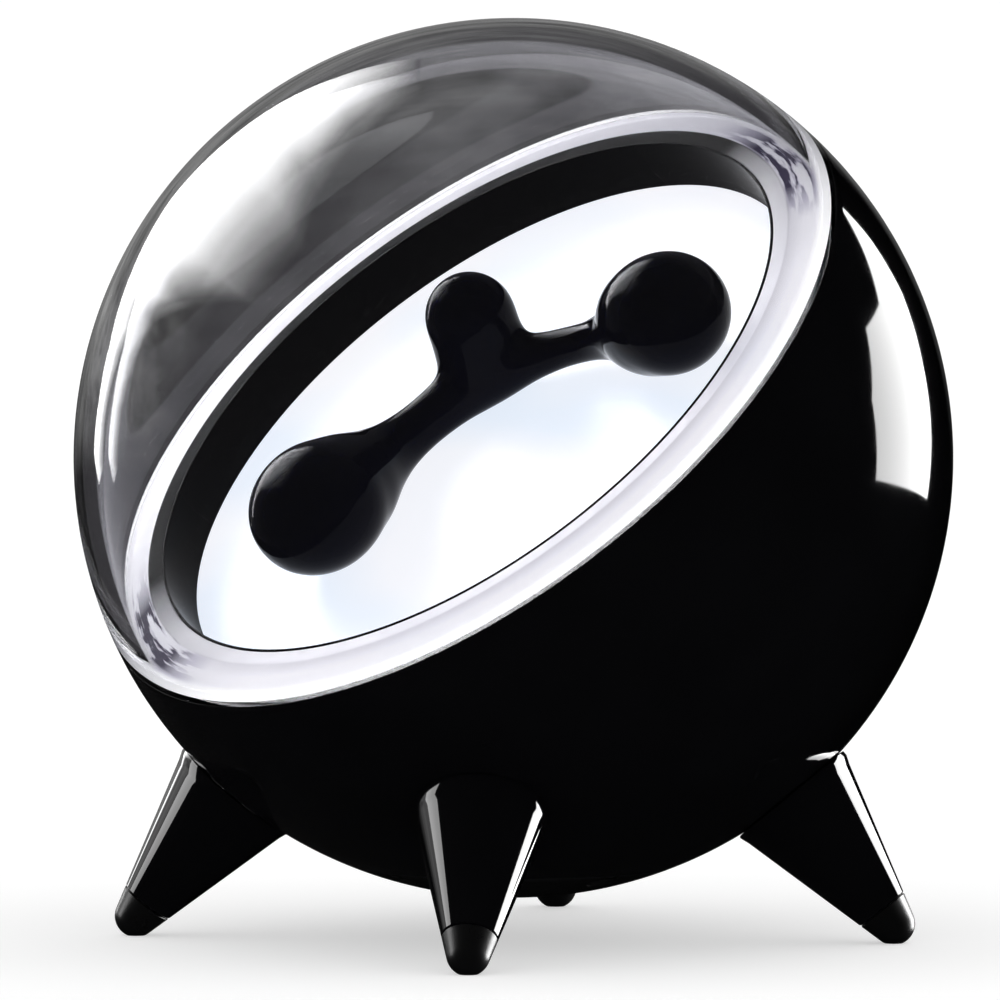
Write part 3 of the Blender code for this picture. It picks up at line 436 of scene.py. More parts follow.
@dataclass(frozen=True)
class LitOpal:
    """Opal plastic lit from behind, whose glow changes over its radius about the display's axis; its glow can be
    painted lighter on the side towards the camera than on the far side.
    """

    name: str
    slot: str
    rest: Matrix  # takes the model's frame to the display's own
    near: tuple[tuple[float, Colour], ...]  # radius in metres to the glow's colour, on the side by the viewer, painted light and shade included
    far: tuple[tuple[float, Colour], ...]  # the same, on the other side, painted shade included
    strength: float
    body: float  # how much of its own white shows
    painted_reflection_mottle: float  # how much the glow changes from place to place, in bluish patches of painted reflection
    nearest: tuple[float, float, float] = (0.881, -0.473, 0.0)  # the near side's direction on the display, towards the camera, which sets where the painted light and shade fall
    streaks: tuple[float, float] | None = None  # radii between which painted dark streaks of shade run at the two ends
    painted_streak_reach: float = 0.34  # how far they run on towards each side, as a share of the radius

    def painted_streak_shade(
        self, sheet: Sheet, flat: bpy.types.NodeSocket, radius: bpy.types.NodeSocket, ahead: bpy.types.NodeSocket
    ) -> bpy.types.NodeSocket:
        """Paint shade into the glow as fine curved dark streaks where the near side meets the far one.

        Args:
            sheet: the material's node tree.
            flat: the position on the display.
            radius: its distance from the display's axis.
            ahead: its distance towards the near side.

        Returns:
            A painted shade colour to multiply the glow by.
        """
        low, high = self.streaks
        wide = self.painted_streak_reach * high
        ends = sheet.ramp(
            sheet.span(ahead, 0.0, 1.0, -wide, wide),
            [(0.0, (0, 0, 0)), (0.35, (1, 1, 1)), (0.75, (1, 1, 1)), (1.0, (0, 0, 0))],
        )
        band = sheet.ramp(
            sheet.span(radius, 0.0, 1.0, low, high),
            [(0.0, (0, 0, 0)), (0.15, (1, 1, 1)), (0.9, (1, 1, 1)), (1.0, (0, 0, 0))],
        )
        drawn = sheet.add("VectorMath", {0: flat}, {"Scale": 75.0}, operation="SCALE").outputs[0]
        lift = sheet.add("CombineXYZ", {"Z": sheet.span(radius, 0.0, 4.0, low, high)}).outputs[0]
        at = sheet.add("VectorMath", {0: drawn, 1: lift}, operation="ADD").outputs[0]
        patches = sheet.ramp(sheet.noise(1.0, 3.0, 0.55, at), [(0.45, (0, 0, 0)), (0.52, (1, 1, 1))])
        amount = sheet.mix(None, sheet.mix(None, ends, band, "MULTIPLY"), patches, "MULTIPLY")
        return sheet.ramp(amount, [(0.0, (1, 1, 1)), (0.5, (0.50, 0.48, 0.58)), (1.0, (0.06, 0.05, 0.10))])

    def material(self) -> bpy.types.Material:
        """Build the material."""
        sheet = Sheet(self.name)
        place, tilt, _ = self.rest.decompose()
        mapping = sheet.add(
            "Mapping", {"Vector": sheet.at}, {"Location": place, "Rotation": tilt.to_euler()}
        ).outputs["Vector"]
        flat = sheet.add("VectorMath", {0: mapping}, {1: (1.0, 1.0, 0.0)}, operation="MULTIPLY").outputs[0]
        radius = sheet.add("VectorMath", {0: flat}, operation="LENGTH").outputs["Value"]
        ahead = sheet.add("VectorMath", {0: flat}, {1: self.nearest}, operation="DOT_PRODUCT").outputs["Value"]
        widest = self.near[-1][0]
        fraction = sheet.span(radius, 0.0, 1.0, 0.0, widest)
        # Painted light and shade: a lit copy of the glow for the side towards the camera and a shaded copy for the far
        # side, blended by how far each point lies towards the camera.
        lit_and_shaded_glows = [sheet.ramp(fraction, [(r / widest, c) for r, c in stops]) for stops in (self.far, self.near)]
        painted_side_shade = sheet.span(ahead, 0.0, 1.0, -0.2 * widest, 0.5 * widest)
        glow = sheet.mix(painted_side_shade, *lit_and_shaded_glows, "MIX")
        # Painted shade: dark streaks where the near and far sides meet.
        if self.streaks:
            glow = sheet.mix(None, glow, self.painted_streak_shade(sheet, flat, radius, ahead), "MULTIPLY")
        # Painted reflection: soft bluish patches over the glow, stronger on the disc than on the ring.
        drift = sheet.add("Mapping", {"Vector": mapping}, {"Scale": (14.0, 34.0, 14.0)}).outputs["Vector"]
        painted_reflection_cloud = sheet.span(sheet.noise(1.0, 2.0, 0.45, drift), 1.0 - self.painted_reflection_mottle, 1.0, 0.40, 0.56)
        painted_reflection_tint = sheet.add("CombineColor", {"Red": painted_reflection_cloud, "Green": sheet.span(painted_reflection_cloud, 0.5, 1.0, 0.0, 1.0)}, {"Blue": 1.0})
        own = tuple(self.body * c for c in (0.95, 0.96, 1.0))
        dull = tuple(0.94 * c for c in own)
        plain_base = sheet.ramp(sheet.noise(90.0, 3.0), [(0.3, dull), (0.7, own)])
        # Where the glow is painted dark, the base colour and its specular level are darkened with it, so the painted
        # shade carries into the surface colour.
        lit = sheet.ramp(glow, [(0.02, (0.004, 0.004, 0.004)), (0.25, (1.0, 1.0, 1.0))])
        links = {
            "Base Color": sheet.mix(None, plain_base, lit, "MULTIPLY"),
            "Roughness": sheet.span(sheet.noise(400.0, 3.0), 0.32, 0.40, 0.3, 0.7),
            "Specular IOR Level": sheet.span(lit, 0.01, 0.3),
            "Emission Color": sheet.mix(None, glow, painted_reflection_tint.outputs[0], "MULTIPLY"),
        }
        sheet.shader(links, {"Emission Strength": self.strength})
        return sheet.material


GLOSS_BLACK = Moulded(
    "gloss_black_lacquer", "gloss_black", (0.0016, 0.0016, 0.0019), (0.0022, 0.0022, 0.0026), (0.035, 0.06)
)
SATIN_BLACK = Moulded(
    "satin_black_plastic",
    "satin_black",
    (0.0035, 0.0035, 0.0038),
    (0.0060, 0.0060, 0.0065),
    (0.42, 0.55),
    2500.0,
    0.00003,
    0.25,
)
RECESS_BLACK = Moulded(
    "recess_black_plastic",
    "satin_black",
    (0.0010, 0.0009, 0.0010),
    (0.0015, 0.0013, 0.0015),
    (0.08, 0.14),
    2500.0,
    0.000003,
    0.012,
)
RUBBER = Moulded(
    "foot_rubber",
    "rubber_black",
    (0.0022, 0.0022, 0.0024),
    (0.0034, 0.0034, 0.0037),
    (0.24, 0.36),
    3500.0,
    0.00001,
    0.40,
)
FERROFLUID = Moulded(
    "ferrofluid_black", "ferrofluid", (0.0008, 0.0009, 0.0048), (0.0012, 0.0014, 0.0066), (0.03, 0.05), specular=0.035
)
ACETAL = Moulded(
    "acetal_white", "acetal_white", (0.66, 0.66, 0.63), (0.74, 0.74, 0.71), (0.35, 0.50), 1800.0, 0.00003
)
GUIDE = Moulded(
    "guide_clear", "guide_clear", (0.80, 0.84, 0.87), (0.86, 0.89, 0.92), (0.06, 0.12), transmission=0.85
)
REFLECTOR = Moulded(
    "reflector_white", "ring_white", (0.82, 0.82, 0.84), (0.88, 0.88, 0.90), (0.45, 0.60), 3000.0, 0.00002
)
SOLDER_MASK = Moulded(
    "solder_mask_green", "board_green", (0.010, 0.065, 0.024), (0.020, 0.100, 0.040), (0.30, 0.48), 1500.0, 0.00004
)
CELL_SLEEVE = Moulded(
    "cell_sleeve_blue", "battery_blue", (0.020, 0.070, 0.260), (0.030, 0.100, 0.330), (0.25, 0.40), 900.0, 0.00003
)
STEEL = Metal("ground_steel", "steel", (0.46, 0.46, 0.47), (0.58, 0.58, 0.59), (0.20, 0.36))
ZINC = Metal("zinc_plated_steel", "zinc_steel", (0.38, 0.39, 0.41), (0.52, 0.53, 0.55), (0.28, 0.46))
NICKEL = Metal("nickel_plate", "magnet_nickel", (0.55, 0.53, 0.49), (0.66, 0.63, 0.58), (0.12, 0.26))
BRASS = Metal("machined_brass", "brass", (0.58, 0.38, 0.13), (0.74, 0.52, 0.22), (0.22, 0.38))


# --- The object ----------------------------------------------------------------------------------


@dataclass
class Place:
    """Where the ball and its display are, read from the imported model."""

    centre: Vector
    axis: Vector
    ball_r: float
    display: Matrix = field(init=False)
    upright: Matrix = field(init=False)

    def __post_init__(self) -> None:
        """Work out the two frames that the pieces are drawn in."""
        tilt = atan2(-self.axis.y, self.axis.z)
        self.upright = Matrix.Translation(self.centre)
        self.display = self.upright @ Matrix.Rotation(tilt, 4, "X")

    @classmethod
    def of(cls, frame: dict) -> "Place":
        """Read the ball's centre, its radius and the display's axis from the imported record."""
        spin = next(j for j in frame["record"]["behaviour"]["joints"] if j["name"] == "magnet_spin")
        low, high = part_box("body_shell")
        return cls(Vector(spin["pos_m"]), Vector(spin["axis"]).normalized(), (high[0] - low[0]) / 2)


@dataclass
class Maker:
    """What every sub-assembly shares: the place it is built at, and how a piece is handed over."""

    place: Place

    def hand_over(
        self,
        ob: bpy.types.Object,
        finish: object,
        body: Body,
        *nodes: str,
    ) -> bpy.types.Object:
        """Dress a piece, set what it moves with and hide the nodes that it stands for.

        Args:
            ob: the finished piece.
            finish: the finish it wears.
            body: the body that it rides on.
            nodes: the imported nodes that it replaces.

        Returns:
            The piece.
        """
        ob.data.materials.clear()
        ob.data.materials.append(finish.material())
        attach(ob, body.value)
        if nodes:
            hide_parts(*nodes)
        LOG.info("%s: %d faces", ob.name, len(ob.data.polygons))
        return ob

    def turned(self, name: str, profile: Profile, steps: int, frame: Matrix) -> bpy.types.Object:
        """A turned piece, laid by a frame."""
        return thing(name, turn(bmesh.new(), profile, steps, frame))


@dataclass
class Dome(Maker):
    """The thick clear dome that completes the ball."""

    wall: float = 3.2 * MM
    base_z: float = 12.58 * MM
    edge: float = 0.12 * MM  # chamfer of the base's outer edge
    bead: float = 0.5 * MM  # rounding of its inner one

    def build(self) -> None:
        """Turn the dome's two shells and its base in one."""
        outer, inner = self.place.ball_r, self.place.ball_r - self.wall
        base_out = sqrt(outer**2 - self.base_z**2)
        base_in = sqrt(inner**2 - self.base_z**2)
        profile = [(0.0, inner)] + arc(inner, 90, latitude(inner, self.base_z + self.bead), 72)[1:]
        profile += arc(self.bead, 180, 270, 6, (base_in + self.bead, self.base_z + self.bead))[1:]
        profile += [(base_out - self.edge, self.base_z)]
        profile += arc(outer, latitude(outer, self.base_z + self.edge), 90, 72)[:-1] + [(0.0, outer)]
        ob = self.turned("dome_wall", profile, FINE_STEPS, self.place.display)
        self.hand_over(ob, ClearWall("dome_clear", "clear_dome", (0.93, 0.93, 0.95)), Body.BASE, "clear_dome")


@dataclass
class Display(Maker):
    """The white ring, the black recess and the lit disc."""

    rim_z: float = 12.6 * MM
    rim_inner_r: float = 62.5 * MM
    lip_z: float = 13.8 * MM
    recess_r: float = 52.9 * MM
    lip_wall: float = 0.35 * MM
    wall: float = 1.5 * MM
    gap: float = 0.3 * MM
    ring_under_z: float = 10.9 * MM
    flange_z: tuple[float, float] = (8.6 * MM, 10.6 * MM)
    ledge_z: tuple[float, float] = (2.9 * MM, 3.7 * MM)
    ledge_r: float = 51.2 * MM
    disc_r: float = 52.6 * MM
    disc_z: tuple[float, float] = (4.0 * MM, 5.6 * MM)
    screw_circle_r: float = 60.0 * MM

    def build(self) -> None:
        """Build the three pieces."""
        self.build_ring()
        self.build_bezel()
        self.build_disc()

    def build_ring(self) -> None:
        """The raised white ring: flat at its outer edge, rounded up towards its inner one."""
        inner = self.recess_r + self.wall + self.gap
        outer = self.rim_inner_r - self.gap / 10
        lip = self.recess_r + self.lip_wall + self.gap / 5
        profile = rounded(
            [
                (inner, self.ring_under_z, 0.2 * MM),
                (outer, self.ring_under_z, 0.2 * MM),
                (outer, self.rim_z, 0.05 * MM),
                (60.6 * MM, self.rim_z, 2.0 * MM),
                (55.8 * MM, self.lip_z - 0.1 * MM, 1.6 * MM),
                (lip, self.lip_z - 0.15 * MM, 0.15 * MM),
                (lip, self.lip_z - 0.6 * MM, 0.1 * MM),
                (inner, self.lip_z - 1.1 * MM, 0.1 * MM),
            ],
            8,
        )
        ob = self.turned("white_ring", profile, FINE_STEPS, self.place.display)
        # Painted light and shade: towards the camera the glow is painted darker over the inner slope and white on the
        # outer band; on the far side it is painted dimmer, and black inside 56 mm as a painted lip that the ring's
        # shape does not have.
        near = (
            (0.0, (0.40, 0.39, 0.43)),
            (53.6 * MM, (0.50, 0.49, 0.53)),
            (55.5 * MM, (0.50, 0.49, 0.54)),
            (58.0 * MM, (0.76, 0.75, 0.79)),
            (59.6 * MM, (0.80, 0.79, 0.83)),
            (60.3 * MM, (1.0, 1.0, 1.0)),
            (63.0 * MM, (1.0, 1.0, 1.0)),
        )
        far = (
            (0.0, (0.0, 0.0, 0.0)),
            (55.9 * MM, (0.0, 0.0, 0.0)),
            (56.1 * MM, (0.36, 0.35, 0.39)),
            (63.0 * MM, (0.38, 0.37, 0.41)),
        )
        # The ring's finish, with painted dark streaks of shade at its two ends.
        finish = LitOpal("ring_opal", "ring_white", self.place.display.inverted(), near, far, 1.05, 0.35, 0.03,
            streaks=(55.6 * MM, 60.2 * MM),)
        self.hand_over(ob, finish, Body.BASE, "light_ring")

    def build_bezel(self) -> None:
        """The recess wall with its thin lip, its flange and its ledge."""
        wall_r = self.recess_r + self.wall
        outer = self.rim_inner_r - self.gap
        low, high = self.flange_z
        soft = 0.2 * MM
        profile = rounded(
            [
                (self.ledge_r, self.ledge_z[0], soft),
                (wall_r, self.ledge_z[0], soft),
                (wall_r, low, soft),
                (outer, low, soft),
                (outer, high, soft),
                (wall_r, high, 0.1 * MM),
                (wall_r, self.lip_z - 1.6 * MM, 0.1 * MM),
                (self.recess_r + self.lip_wall, self.lip_z - 1.2 * MM, 0.05 * MM),
                (self.recess_r + self.lip_wall, self.lip_z, 0.12 * MM),
                (self.recess_r, self.lip_z, 0.12 * MM),
                (self.recess_r, self.ledge_z[1], 0.1 * MM),
                (self.ledge_r, self.ledge_z[1], 0.1 * MM),
            ],
            4,
        )
        ob = self.turned("recess_wall", profile, FINE_STEPS, self.place.display)
        tool = bmesh.new()
        for i in range(4):
            spot = self.place.display @ Matrix.Rotation(radians(45 + 90 * i), 4, "Z")
            spot = spot @ Matrix.Translation((self.screw_circle_r, 0, 0))
            stepped = [(0.0, 0.0), (1.6 * MM, 0.0), (1.6 * MM, 9.4 * MM), (2.3 * MM, 9.4 * MM)]
            turn(tool, stepped + [(2.3 * MM, 12 * MM), (0.0, 12 * MM)], 24, spot)
        carve(ob, tool)
        self.hand_over(ob, RECESS_BLACK, Body.BASE, "recess_bezel")

    def build_disc(self) -> None:
        """The opal disc that the fluid stands on."""
        low, high = self.disc_z
        soft = 0.25 * MM
        profile = [(0.0, low)] + [(self.disc_r - soft, low), (self.disc_r, low + soft)]
        profile += arc(soft, 0, 90, 6, (self.disc_r - soft, high - soft))
        profile += [(self.disc_r * k / 8, high) for k in range(7, 0, -1)] + [(0.0, high)]
        ob = self.turned("lit_disc", profile, FINE_STEPS, self.place.display)
        stops = (
            (0.0, (0.93, 0.95, 0.98)),
            (30.0 * MM, (0.95, 0.96, 0.99)),
            (48.0 * MM, (0.97, 0.98, 1.0)),
            (53.0 * MM, (0.97, 0.97, 1.0)),
        )
        # The disc's finish, with painted bluish reflection patches over its glow.
        finish = LitOpal(
            "disc_opal", "diffuser_white", self.place.display.inverted(), stops, stops, 1.05, 0.25, 0.12
        )
        self.hand_over(ob, finish, Body.BASE, "display_disc")


@dataclass
class Fluid(Maker):
    """The ferrofluid: balls and capsules melted into one smooth skin over the disc."""

    floor_z: float = 5.9 * MM
    voxel: float = 0.5 * MM
    rounds: int = 70
    lobes: tuple[tuple[float, float, float, float, float], ...] = (
        # across, up the slope, height, radius, height radius; all in mm
        (-10.6, -25.2, 14.3, 11.0, 9.7),
        (33.2, 17.0, 14.5, 9.5, 9.3),
        (31.6, 17.0, 14.6, 9.3, 8.8),
        (-4.4, 10.9, 18.3, 7.1, 7.3),
        (-5.2, 9.8, 14.0, 7.1, 7.0),
        (-6.0, 8.0, 9.8, 6.6, 4.6),
    )
    necks: tuple[tuple[float, float, float, float], ...] = (
        # across, up the slope, height, radius; all in mm
        (-10.9, -20.0, 12.9, 8.5),
        (-11.6, -14.6, 11.4, 6.1),
        (-12.0, -9.0, 10.1, 4.5),
        (-11.2, -3.2, 9.3, 3.9),
        (-8.9, 2.6, 9.2, 4.2),
        (-4.0, 7.6, 9.5, 4.6),
        (1.5, 11.3, 9.6, 3.8),
        (7.5, 14.0, 9.5, 3.3),
        (13.0, 15.5, 9.7, 3.3),
        (18.0, 16.3, 10.6, 4.2),
        (21.5, 16.8, 10.7, 5.4),
        (25.0, 17.0, 11.9, 7.3),
        (28.6, 17.1, 13.2, 8.8),
    )

    def build(self) -> None:
        """Melt the lobes and necks together, smooth the skin and flatten what rests on the disc."""
        bm = bmesh.new()
        for across, up, height, radius, tall in self.lobes:
            self.ball(bm, (across, up, height), (radius, radius, tall))
        for across, up, height, radius in self.necks:
            self.ball(bm, (across, up, height), (radius, radius, radius))
        for (x0, y0, z0, r0), (x1, y1, z1, r1) in zip(self.necks, self.necks[1:], strict=False):
            for k in (0.25, 0.5, 0.75):
                spot = (x0 + (x1 - x0) * k, y0 + (y1 - y0) * k, z0 + (z1 - z0) * k)
                self.ball(bm, spot, (r0 + (r1 - r0) * k,) * 3)
        ob = thing("fluid_skin", bm)
        mod = ob.modifiers.new("melt", "REMESH")
        mod.mode = "VOXEL"
        mod.voxel_size = self.voxel
        settle(ob)
        bm = bmesh.new()
        bm.from_mesh(ob.data)
        for _ in range(self.rounds):
            bmesh.ops.smooth_vert(
                bm, verts=bm.verts, factor=0.5, use_axis_x=True, use_axis_y=True, use_axis_z=True
            )
        for vert in bm.verts:
            vert.co.z = max(vert.co.z, self.floor_z)
        bmesh.ops.transform(bm, matrix=self.place.display, verts=bm.verts)
        bm.to_mesh(ob.data)
        bm.free()
        ob.data.shade_smooth()
        self.hand_over(ob, FERROFLUID, Body.FLUID, "fluid_figure")

    def ball(self, bm: bmesh.types.BMesh, middle: tuple[float, ...], radii: tuple[float, ...]) -> None:
        """Add one ball, its middle and its radii in mm."""
        matrix = Matrix.Translation(Vector(middle) * MM) @ Matrix.Diagonal((*radii, 1.0))
        bmesh.ops.create_uvsphere(bm, u_segments=32, v_segments=20, radius=MM, matrix=matrix)


@dataclass
class Shell(Maker):
    """The gloss black body, with its rim, its flange, its posts and its openings."""

    wall: float = 2.8 * MM
    rim_z: float = 12.6 * MM
    rim_inner_r: float = 62.5 * MM
    flange_r: float = 57.5 * MM
    flange_z: tuple[float, float] = (3.5 * MM, 6.5 * MM)
    seat_r: float = 24.0 * MM
    seat_z: float = -57.2 * MM
    boss: tuple[float, float, float] = (28.0 * MM, -57.5 * MM, -53.5 * MM)
    boss_bore_r: float = 18.4 * MM
    cover_screw_r: float = 20.9 * MM
    post_x: float = 21.0 * MM
    post_z: float = 8.0 * MM
    post_y: tuple[float, float] = (47.9 * MM, 58.5 * MM)
    button_z: float = 2.0 * MM
    button_hole_r: float = 5.3 * MM
    socket_z: float = -16.0 * MM
    socket_size: tuple[float, float] = (9.6 * MM, 3.8 * MM)
    stud_hole_r: float = 2.3 * MM

    def along_y(self, x: float, z: float) -> Matrix:
        """A frame whose Z runs along +Y through (x, z) from the ball's centre."""
        return self.place.upright @ Matrix.Translation((x, 0, z)) @ Matrix.Rotation(radians(-90), 4, "X")

    def build(self) -> None:
        """Turn the bowl, join what stands on it and cut its openings."""
        outer = self.place.ball_r
        inner = outer - self.wall
        low, high = self.flange_z
        rim_r = sqrt(outer**2 - self.rim_z**2)
        soft = 0.12 * MM
        profile = [(0.0, -outer)] + arc(outer, -90, latitude(outer, self.rim_z - soft), 84)[1:]
        profile += arc(soft, 20, 90, 5, (rim_r - soft * 0.93, self.rim_z - soft))
        profile += [(self.rim_inner_r, self.rim_z), (self.rim_inner_r, high), (self.flange_r, high)]
        profile += [(self.flange_r, low)]
        profile += arc(inner, latitude(inner, low), -90, 60)[:-1] + [(0.0, -inner)]
        ob = self.turned("ball_body", profile, FINE_STEPS, self.place.display)

        bm = turn(bmesh.new(), rod(*self.boss), FINE_STEPS, self.place.upright)
        for x in (-self.post_x, self.post_x):
            turn(bm, rod(3.0 * MM, *self.post_y), 32, self.along_y(x, self.post_z))
        carve(ob, bm, "UNION")
        carve(ob, turn(bmesh.new(), rod(self.seat_r, -70 * MM, self.seat_z), FINE_STEPS, self.place.upright))
        carve(ob, self.openings())
        self.hand_over(ob, GLOSS_BLACK, Body.BASE, "body_shell")

    def openings(self) -> bmesh.types.BMesh:
        """The holes for the base, the screws, the button, the studs and the socket, as one tool."""
        bm = turn(bmesh.new(), rod(self.boss_bore_r, -60 * MM, -50 * MM), FINE_STEPS, self.place.upright)
        for i in range(4):
            spot = self.place.upright @ Matrix.Rotation(radians(90 * i), 4, "Z")
            turn(bm, rod(1.6 * MM, -60 * MM, -50 * MM), 24, spot @ Matrix.Translation((self.cover_screw_r, 0, 0)))
            spot = self.place.display @ Matrix.Rotation(radians(45 + 90 * i), 4, "Z")
            turn(bm, rod(1.5 * MM, 0, 8 * MM), 24, spot @ Matrix.Translation((60 * MM, 0, 0)))
            turn(bm, rod(self.stud_hole_r, 55 * MM, 75 * MM), 24, Legs.axis_of(self.place, 45 + 90 * i))
        for x in (-self.post_x, self.post_x):
            turn(bm, rod(1.2 * MM, 40 * MM, 57 * MM), 24, self.along_y(x, self.post_z))
        turn(bm, rod(self.button_hole_r, 50 * MM, 70 * MM), 64, self.along_y(0, self.button_z))
        half_x, half_z = self.socket_size[0] / 2, self.socket_size[1] / 2
        c = self.place.centre
        low = c + Vector((-half_x, 50 * MM, self.socket_z - half_z))
        high = c + Vector((half_x, 70 * MM, self.socket_z + half_z))
        return box(bm, low, high, 1.5 * MM)


@dataclass
class Legs(Maker):
    """Four cone legs with rubber feet."""

    ball_gap: float = 0.06 * MM
    tip_r: float = 3.2 * MM
    tip_at: float = 90.7 * MM
    seam: float = 88.0 * MM
    taper: float = radians(15.3)
    root: float = 66.4 * MM
    shoulder: float = 0.5 * MM
    bore_r: float = 2.3 * MM
    bore_end: float = 78.0 * MM
    spigot: tuple[float, float] = (1.6 * MM, 90.6 * MM)
    gap: float = 0.05 * MM
    foot_flat: float = 0.3 * MM
    names: tuple[tuple[str, int], ...] = (
        ("front_right", -45),
        ("front_left", -135),
        ("rear_left", 135),
        ("rear_right", 45),
    )

    spread = radians(38.5)
    apex_z = 2.5 * MM

    @classmethod
    def axis_of(cls, place: Place, azimuth: float) -> Matrix:
        """A frame at the legs' common apex whose Z runs down one leg."""
        apex = place.upright @ Matrix.Translation((0, 0, cls.apex_z))
        return apex @ Matrix.Rotation(radians(azimuth), 4, "Z") @ Matrix.Rotation(pi - cls.spread, 4, "Y")

    def cone_r(self, along: float) -> float:
        """The cone's radius at a distance from the apex."""
        return self.tip_r / cos(self.taper) + (self.tip_at - along) * tan(self.taper)

    def build(self) -> None:
        """Build each leg and its foot."""
        for name, azimuth in self.names:
            frame = self.axis_of(self.place, azimuth)
            self.build_leg(name, frame)
            self.build_foot(name, frame)

    def build_leg(self, name: str, frame: Matrix) -> None:
        """One cone, its root laid on the ball, its far end turned down for the foot."""
        root_r = self.cone_r(self.root)
        start = 64.0 * MM
        spigot_r, spigot_end = self.spigot
        seam_r = self.cone_r(self.seam)
        profile = [(0.0, self.bore_end), (self.bore_r, self.bore_end), (self.bore_r, start)]
        profile += [(self.bore_r + (root_r - self.shoulder - self.bore_r) * k / 6, start) for k in range(1, 7)]
        profile += [(root_r - self.shoulder * 0.3, start + 1e-4), (root_r - self.shoulder * 0.05, start + 2e-4)]
        profile += [(root_r, self.root + self.shoulder)]
        run = 24
        profile += [
            (self.cone_r(along), along)
            for along in (self.root + (self.seam - 0.2 * MM - self.root) * k / run for k in range(2, run + 1))
        ]
        profile += [(seam_r - 0.2 * MM, self.seam), (spigot_r, self.seam), (spigot_r, spigot_end), (0.0, spigot_end)]
        bm = turn(bmesh.new(), profile, MEDIUM_STEPS)
        middle = Matrix.Rotation(-(pi - self.spread), 4, "Y") @ Vector((0, 0, -self.apex_z))
        reach = self.place.ball_r + self.ball_gap
        for vert in bm.verts:
            if vert.co.z < start + 3e-4:
                aside = (vert.co.x - middle.x) ** 2 + (vert.co.y - middle.y) ** 2
                vert.co.z = middle.z + sqrt(reach**2 - aside) + (vert.co.z - start)
        bmesh.ops.transform(bm, matrix=frame, verts=bm.verts)
        self.hand_over(thing(f"cone_{name}", bm), GLOSS_BLACK, Body.BASE, f"leg_{name}")

    def build_foot(self, name: str, frame: Matrix) -> None:
        """One rubber tip, cut flat where it stands."""
        spigot_r, spigot_end = self.spigot
        bore = spigot_r + self.gap
        top = self.seam + self.gap
        profile = [(0.0, spigot_end + self.gap), (bore, spigot_end + self.gap), (bore, top)]
        profile += [(self.cone_r(top) - 0.2 * MM, top), (self.cone_r(top + 0.15 * MM), top + 0.15 * MM)]
        ball = arc(self.tip_r, degrees(self.taper), 90, 24, (0.0, self.tip_at))
        profile += ball[:-1] + [(0.0, self.tip_at + self.tip_r)]
        bm = turn(bmesh.new(), profile, MEDIUM_STEPS)
        down = Matrix.Rotation(-(pi - self.spread), 4, "Y") @ Vector((0, 0, -1))
        ground = Vector((0, 0, self.tip_at)) + down * (self.tip_r - self.foot_flat)
        geometry = bm.verts[:] + bm.edges[:] + bm.faces[:]
        bmesh.ops.bisect_plane(bm, geom=geometry, dist=1e-6, plane_co=ground, plane_no=down, clear_outer=True)
        bmesh.ops.holes_fill(bm, edges=[e for e in bm.edges if e.is_boundary])
        bmesh.ops.transform(bm, matrix=frame, verts=bm.verts)
        self.hand_over(thing(f"tip_{name}", bm), RUBBER, Body.BASE, f"foot_{name}")


@dataclass
class Rear(Maker):
    """What shows at the back and underneath: the button and the base cover."""

    button_z: float = 2.0 * MM
    button_r: float = 5.0 * MM
    button_y: tuple[float, float] = (52.5 * MM, 64.9 * MM)
    collar: tuple[float, float, float] = (6.4 * MM, 59.4 * MM, 60.6 * MM)
    stem_r: float = 2.0 * MM
    cover_r: float = 23.7 * MM
    cover_top: float = -57.5 * MM
    hollow: tuple[float, float] = (16.0 * MM, -61.0 * MM)
    screw_circle: float = 20.9 * MM

    def build(self) -> None:
        """Build the button and the base cover."""
        self.build_button()
        self.build_cover()

    def build_button(self) -> None:
        """A round button with a dished face and a soft edge."""
        stem_end, face = self.button_y
        collar_r, collar_low, collar_high = self.collar
        stem_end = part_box("power_button")[0][1] - self.place.centre.y
        profile = [(0.0, stem_end), (self.stem_r, stem_end), (self.stem_r, collar_low)]
        profile += [(collar_r, collar_low), (collar_r, collar_high), (self.button_r, collar_high)]
        profile += arc(0.5 * MM, 0, 90, 6, (self.button_r - 0.5 * MM, face - 0.5 * MM))
        dish = 0.35 * MM
        reach = self.button_r - 1.0 * MM
        profile += [(reach * (1 - k / 10), face - dish * (1 - (1 - k / 10) ** 2)) for k in range(0, 11)]
        frame = self.place.upright @ Matrix.Translation((0, 0, self.button_z))
        frame = frame @ Matrix.Rotation(radians(-90), 4, "X")
        self.hand_over(
            self.turned("button_cap", profile, MEDIUM_STEPS, frame), SATIN_BLACK, Body.BUTTON, "power_button"
        )

    def build_cover(self) -> None:
        """The round cover in the ball's underside, with its screw holes."""
        outer = self.place.ball_r
        edge_low = -sqrt(outer**2 - self.cover_r**2)
        soft = 0.3 * MM
        hollow_r, hollow_z = self.hollow
        profile = [(0.0, -outer)] + arc(outer, -90, latitude(outer, edge_low) - 0.3, 24)[1:]
        profile += [(self.cover_r, edge_low + soft), (self.cover_r, self.cover_top - soft)]
        profile += [(self.cover_r - soft, self.cover_top), (hollow_r, self.cover_top)]
        profile += [(hollow_r, hollow_z), (0.0, hollow_z)]
        ob = self.turned("bottom_cover", profile, FINE_STEPS, self.place.upright)
        tool = bmesh.new()
        seat = -59.7 * MM
        stepped = [(0.0, -66 * MM), (2.3 * MM, -66 * MM), (2.3 * MM, seat), (1.6 * MM, seat)]
        stepped += [(1.6 * MM, -50 * MM), (0.0, -50 * MM)]
        for i in range(4):
            spot = self.place.upright @ Matrix.Rotation(radians(90 * i), 4, "Z")
            turn(tool, stepped, 32, spot @ Matrix.Translation((self.screw_circle, 0, 0)))
        carve(ob, tool)
        self.hand_over(ob, SATIN_BLACK, Body.BASE, "base_cover")


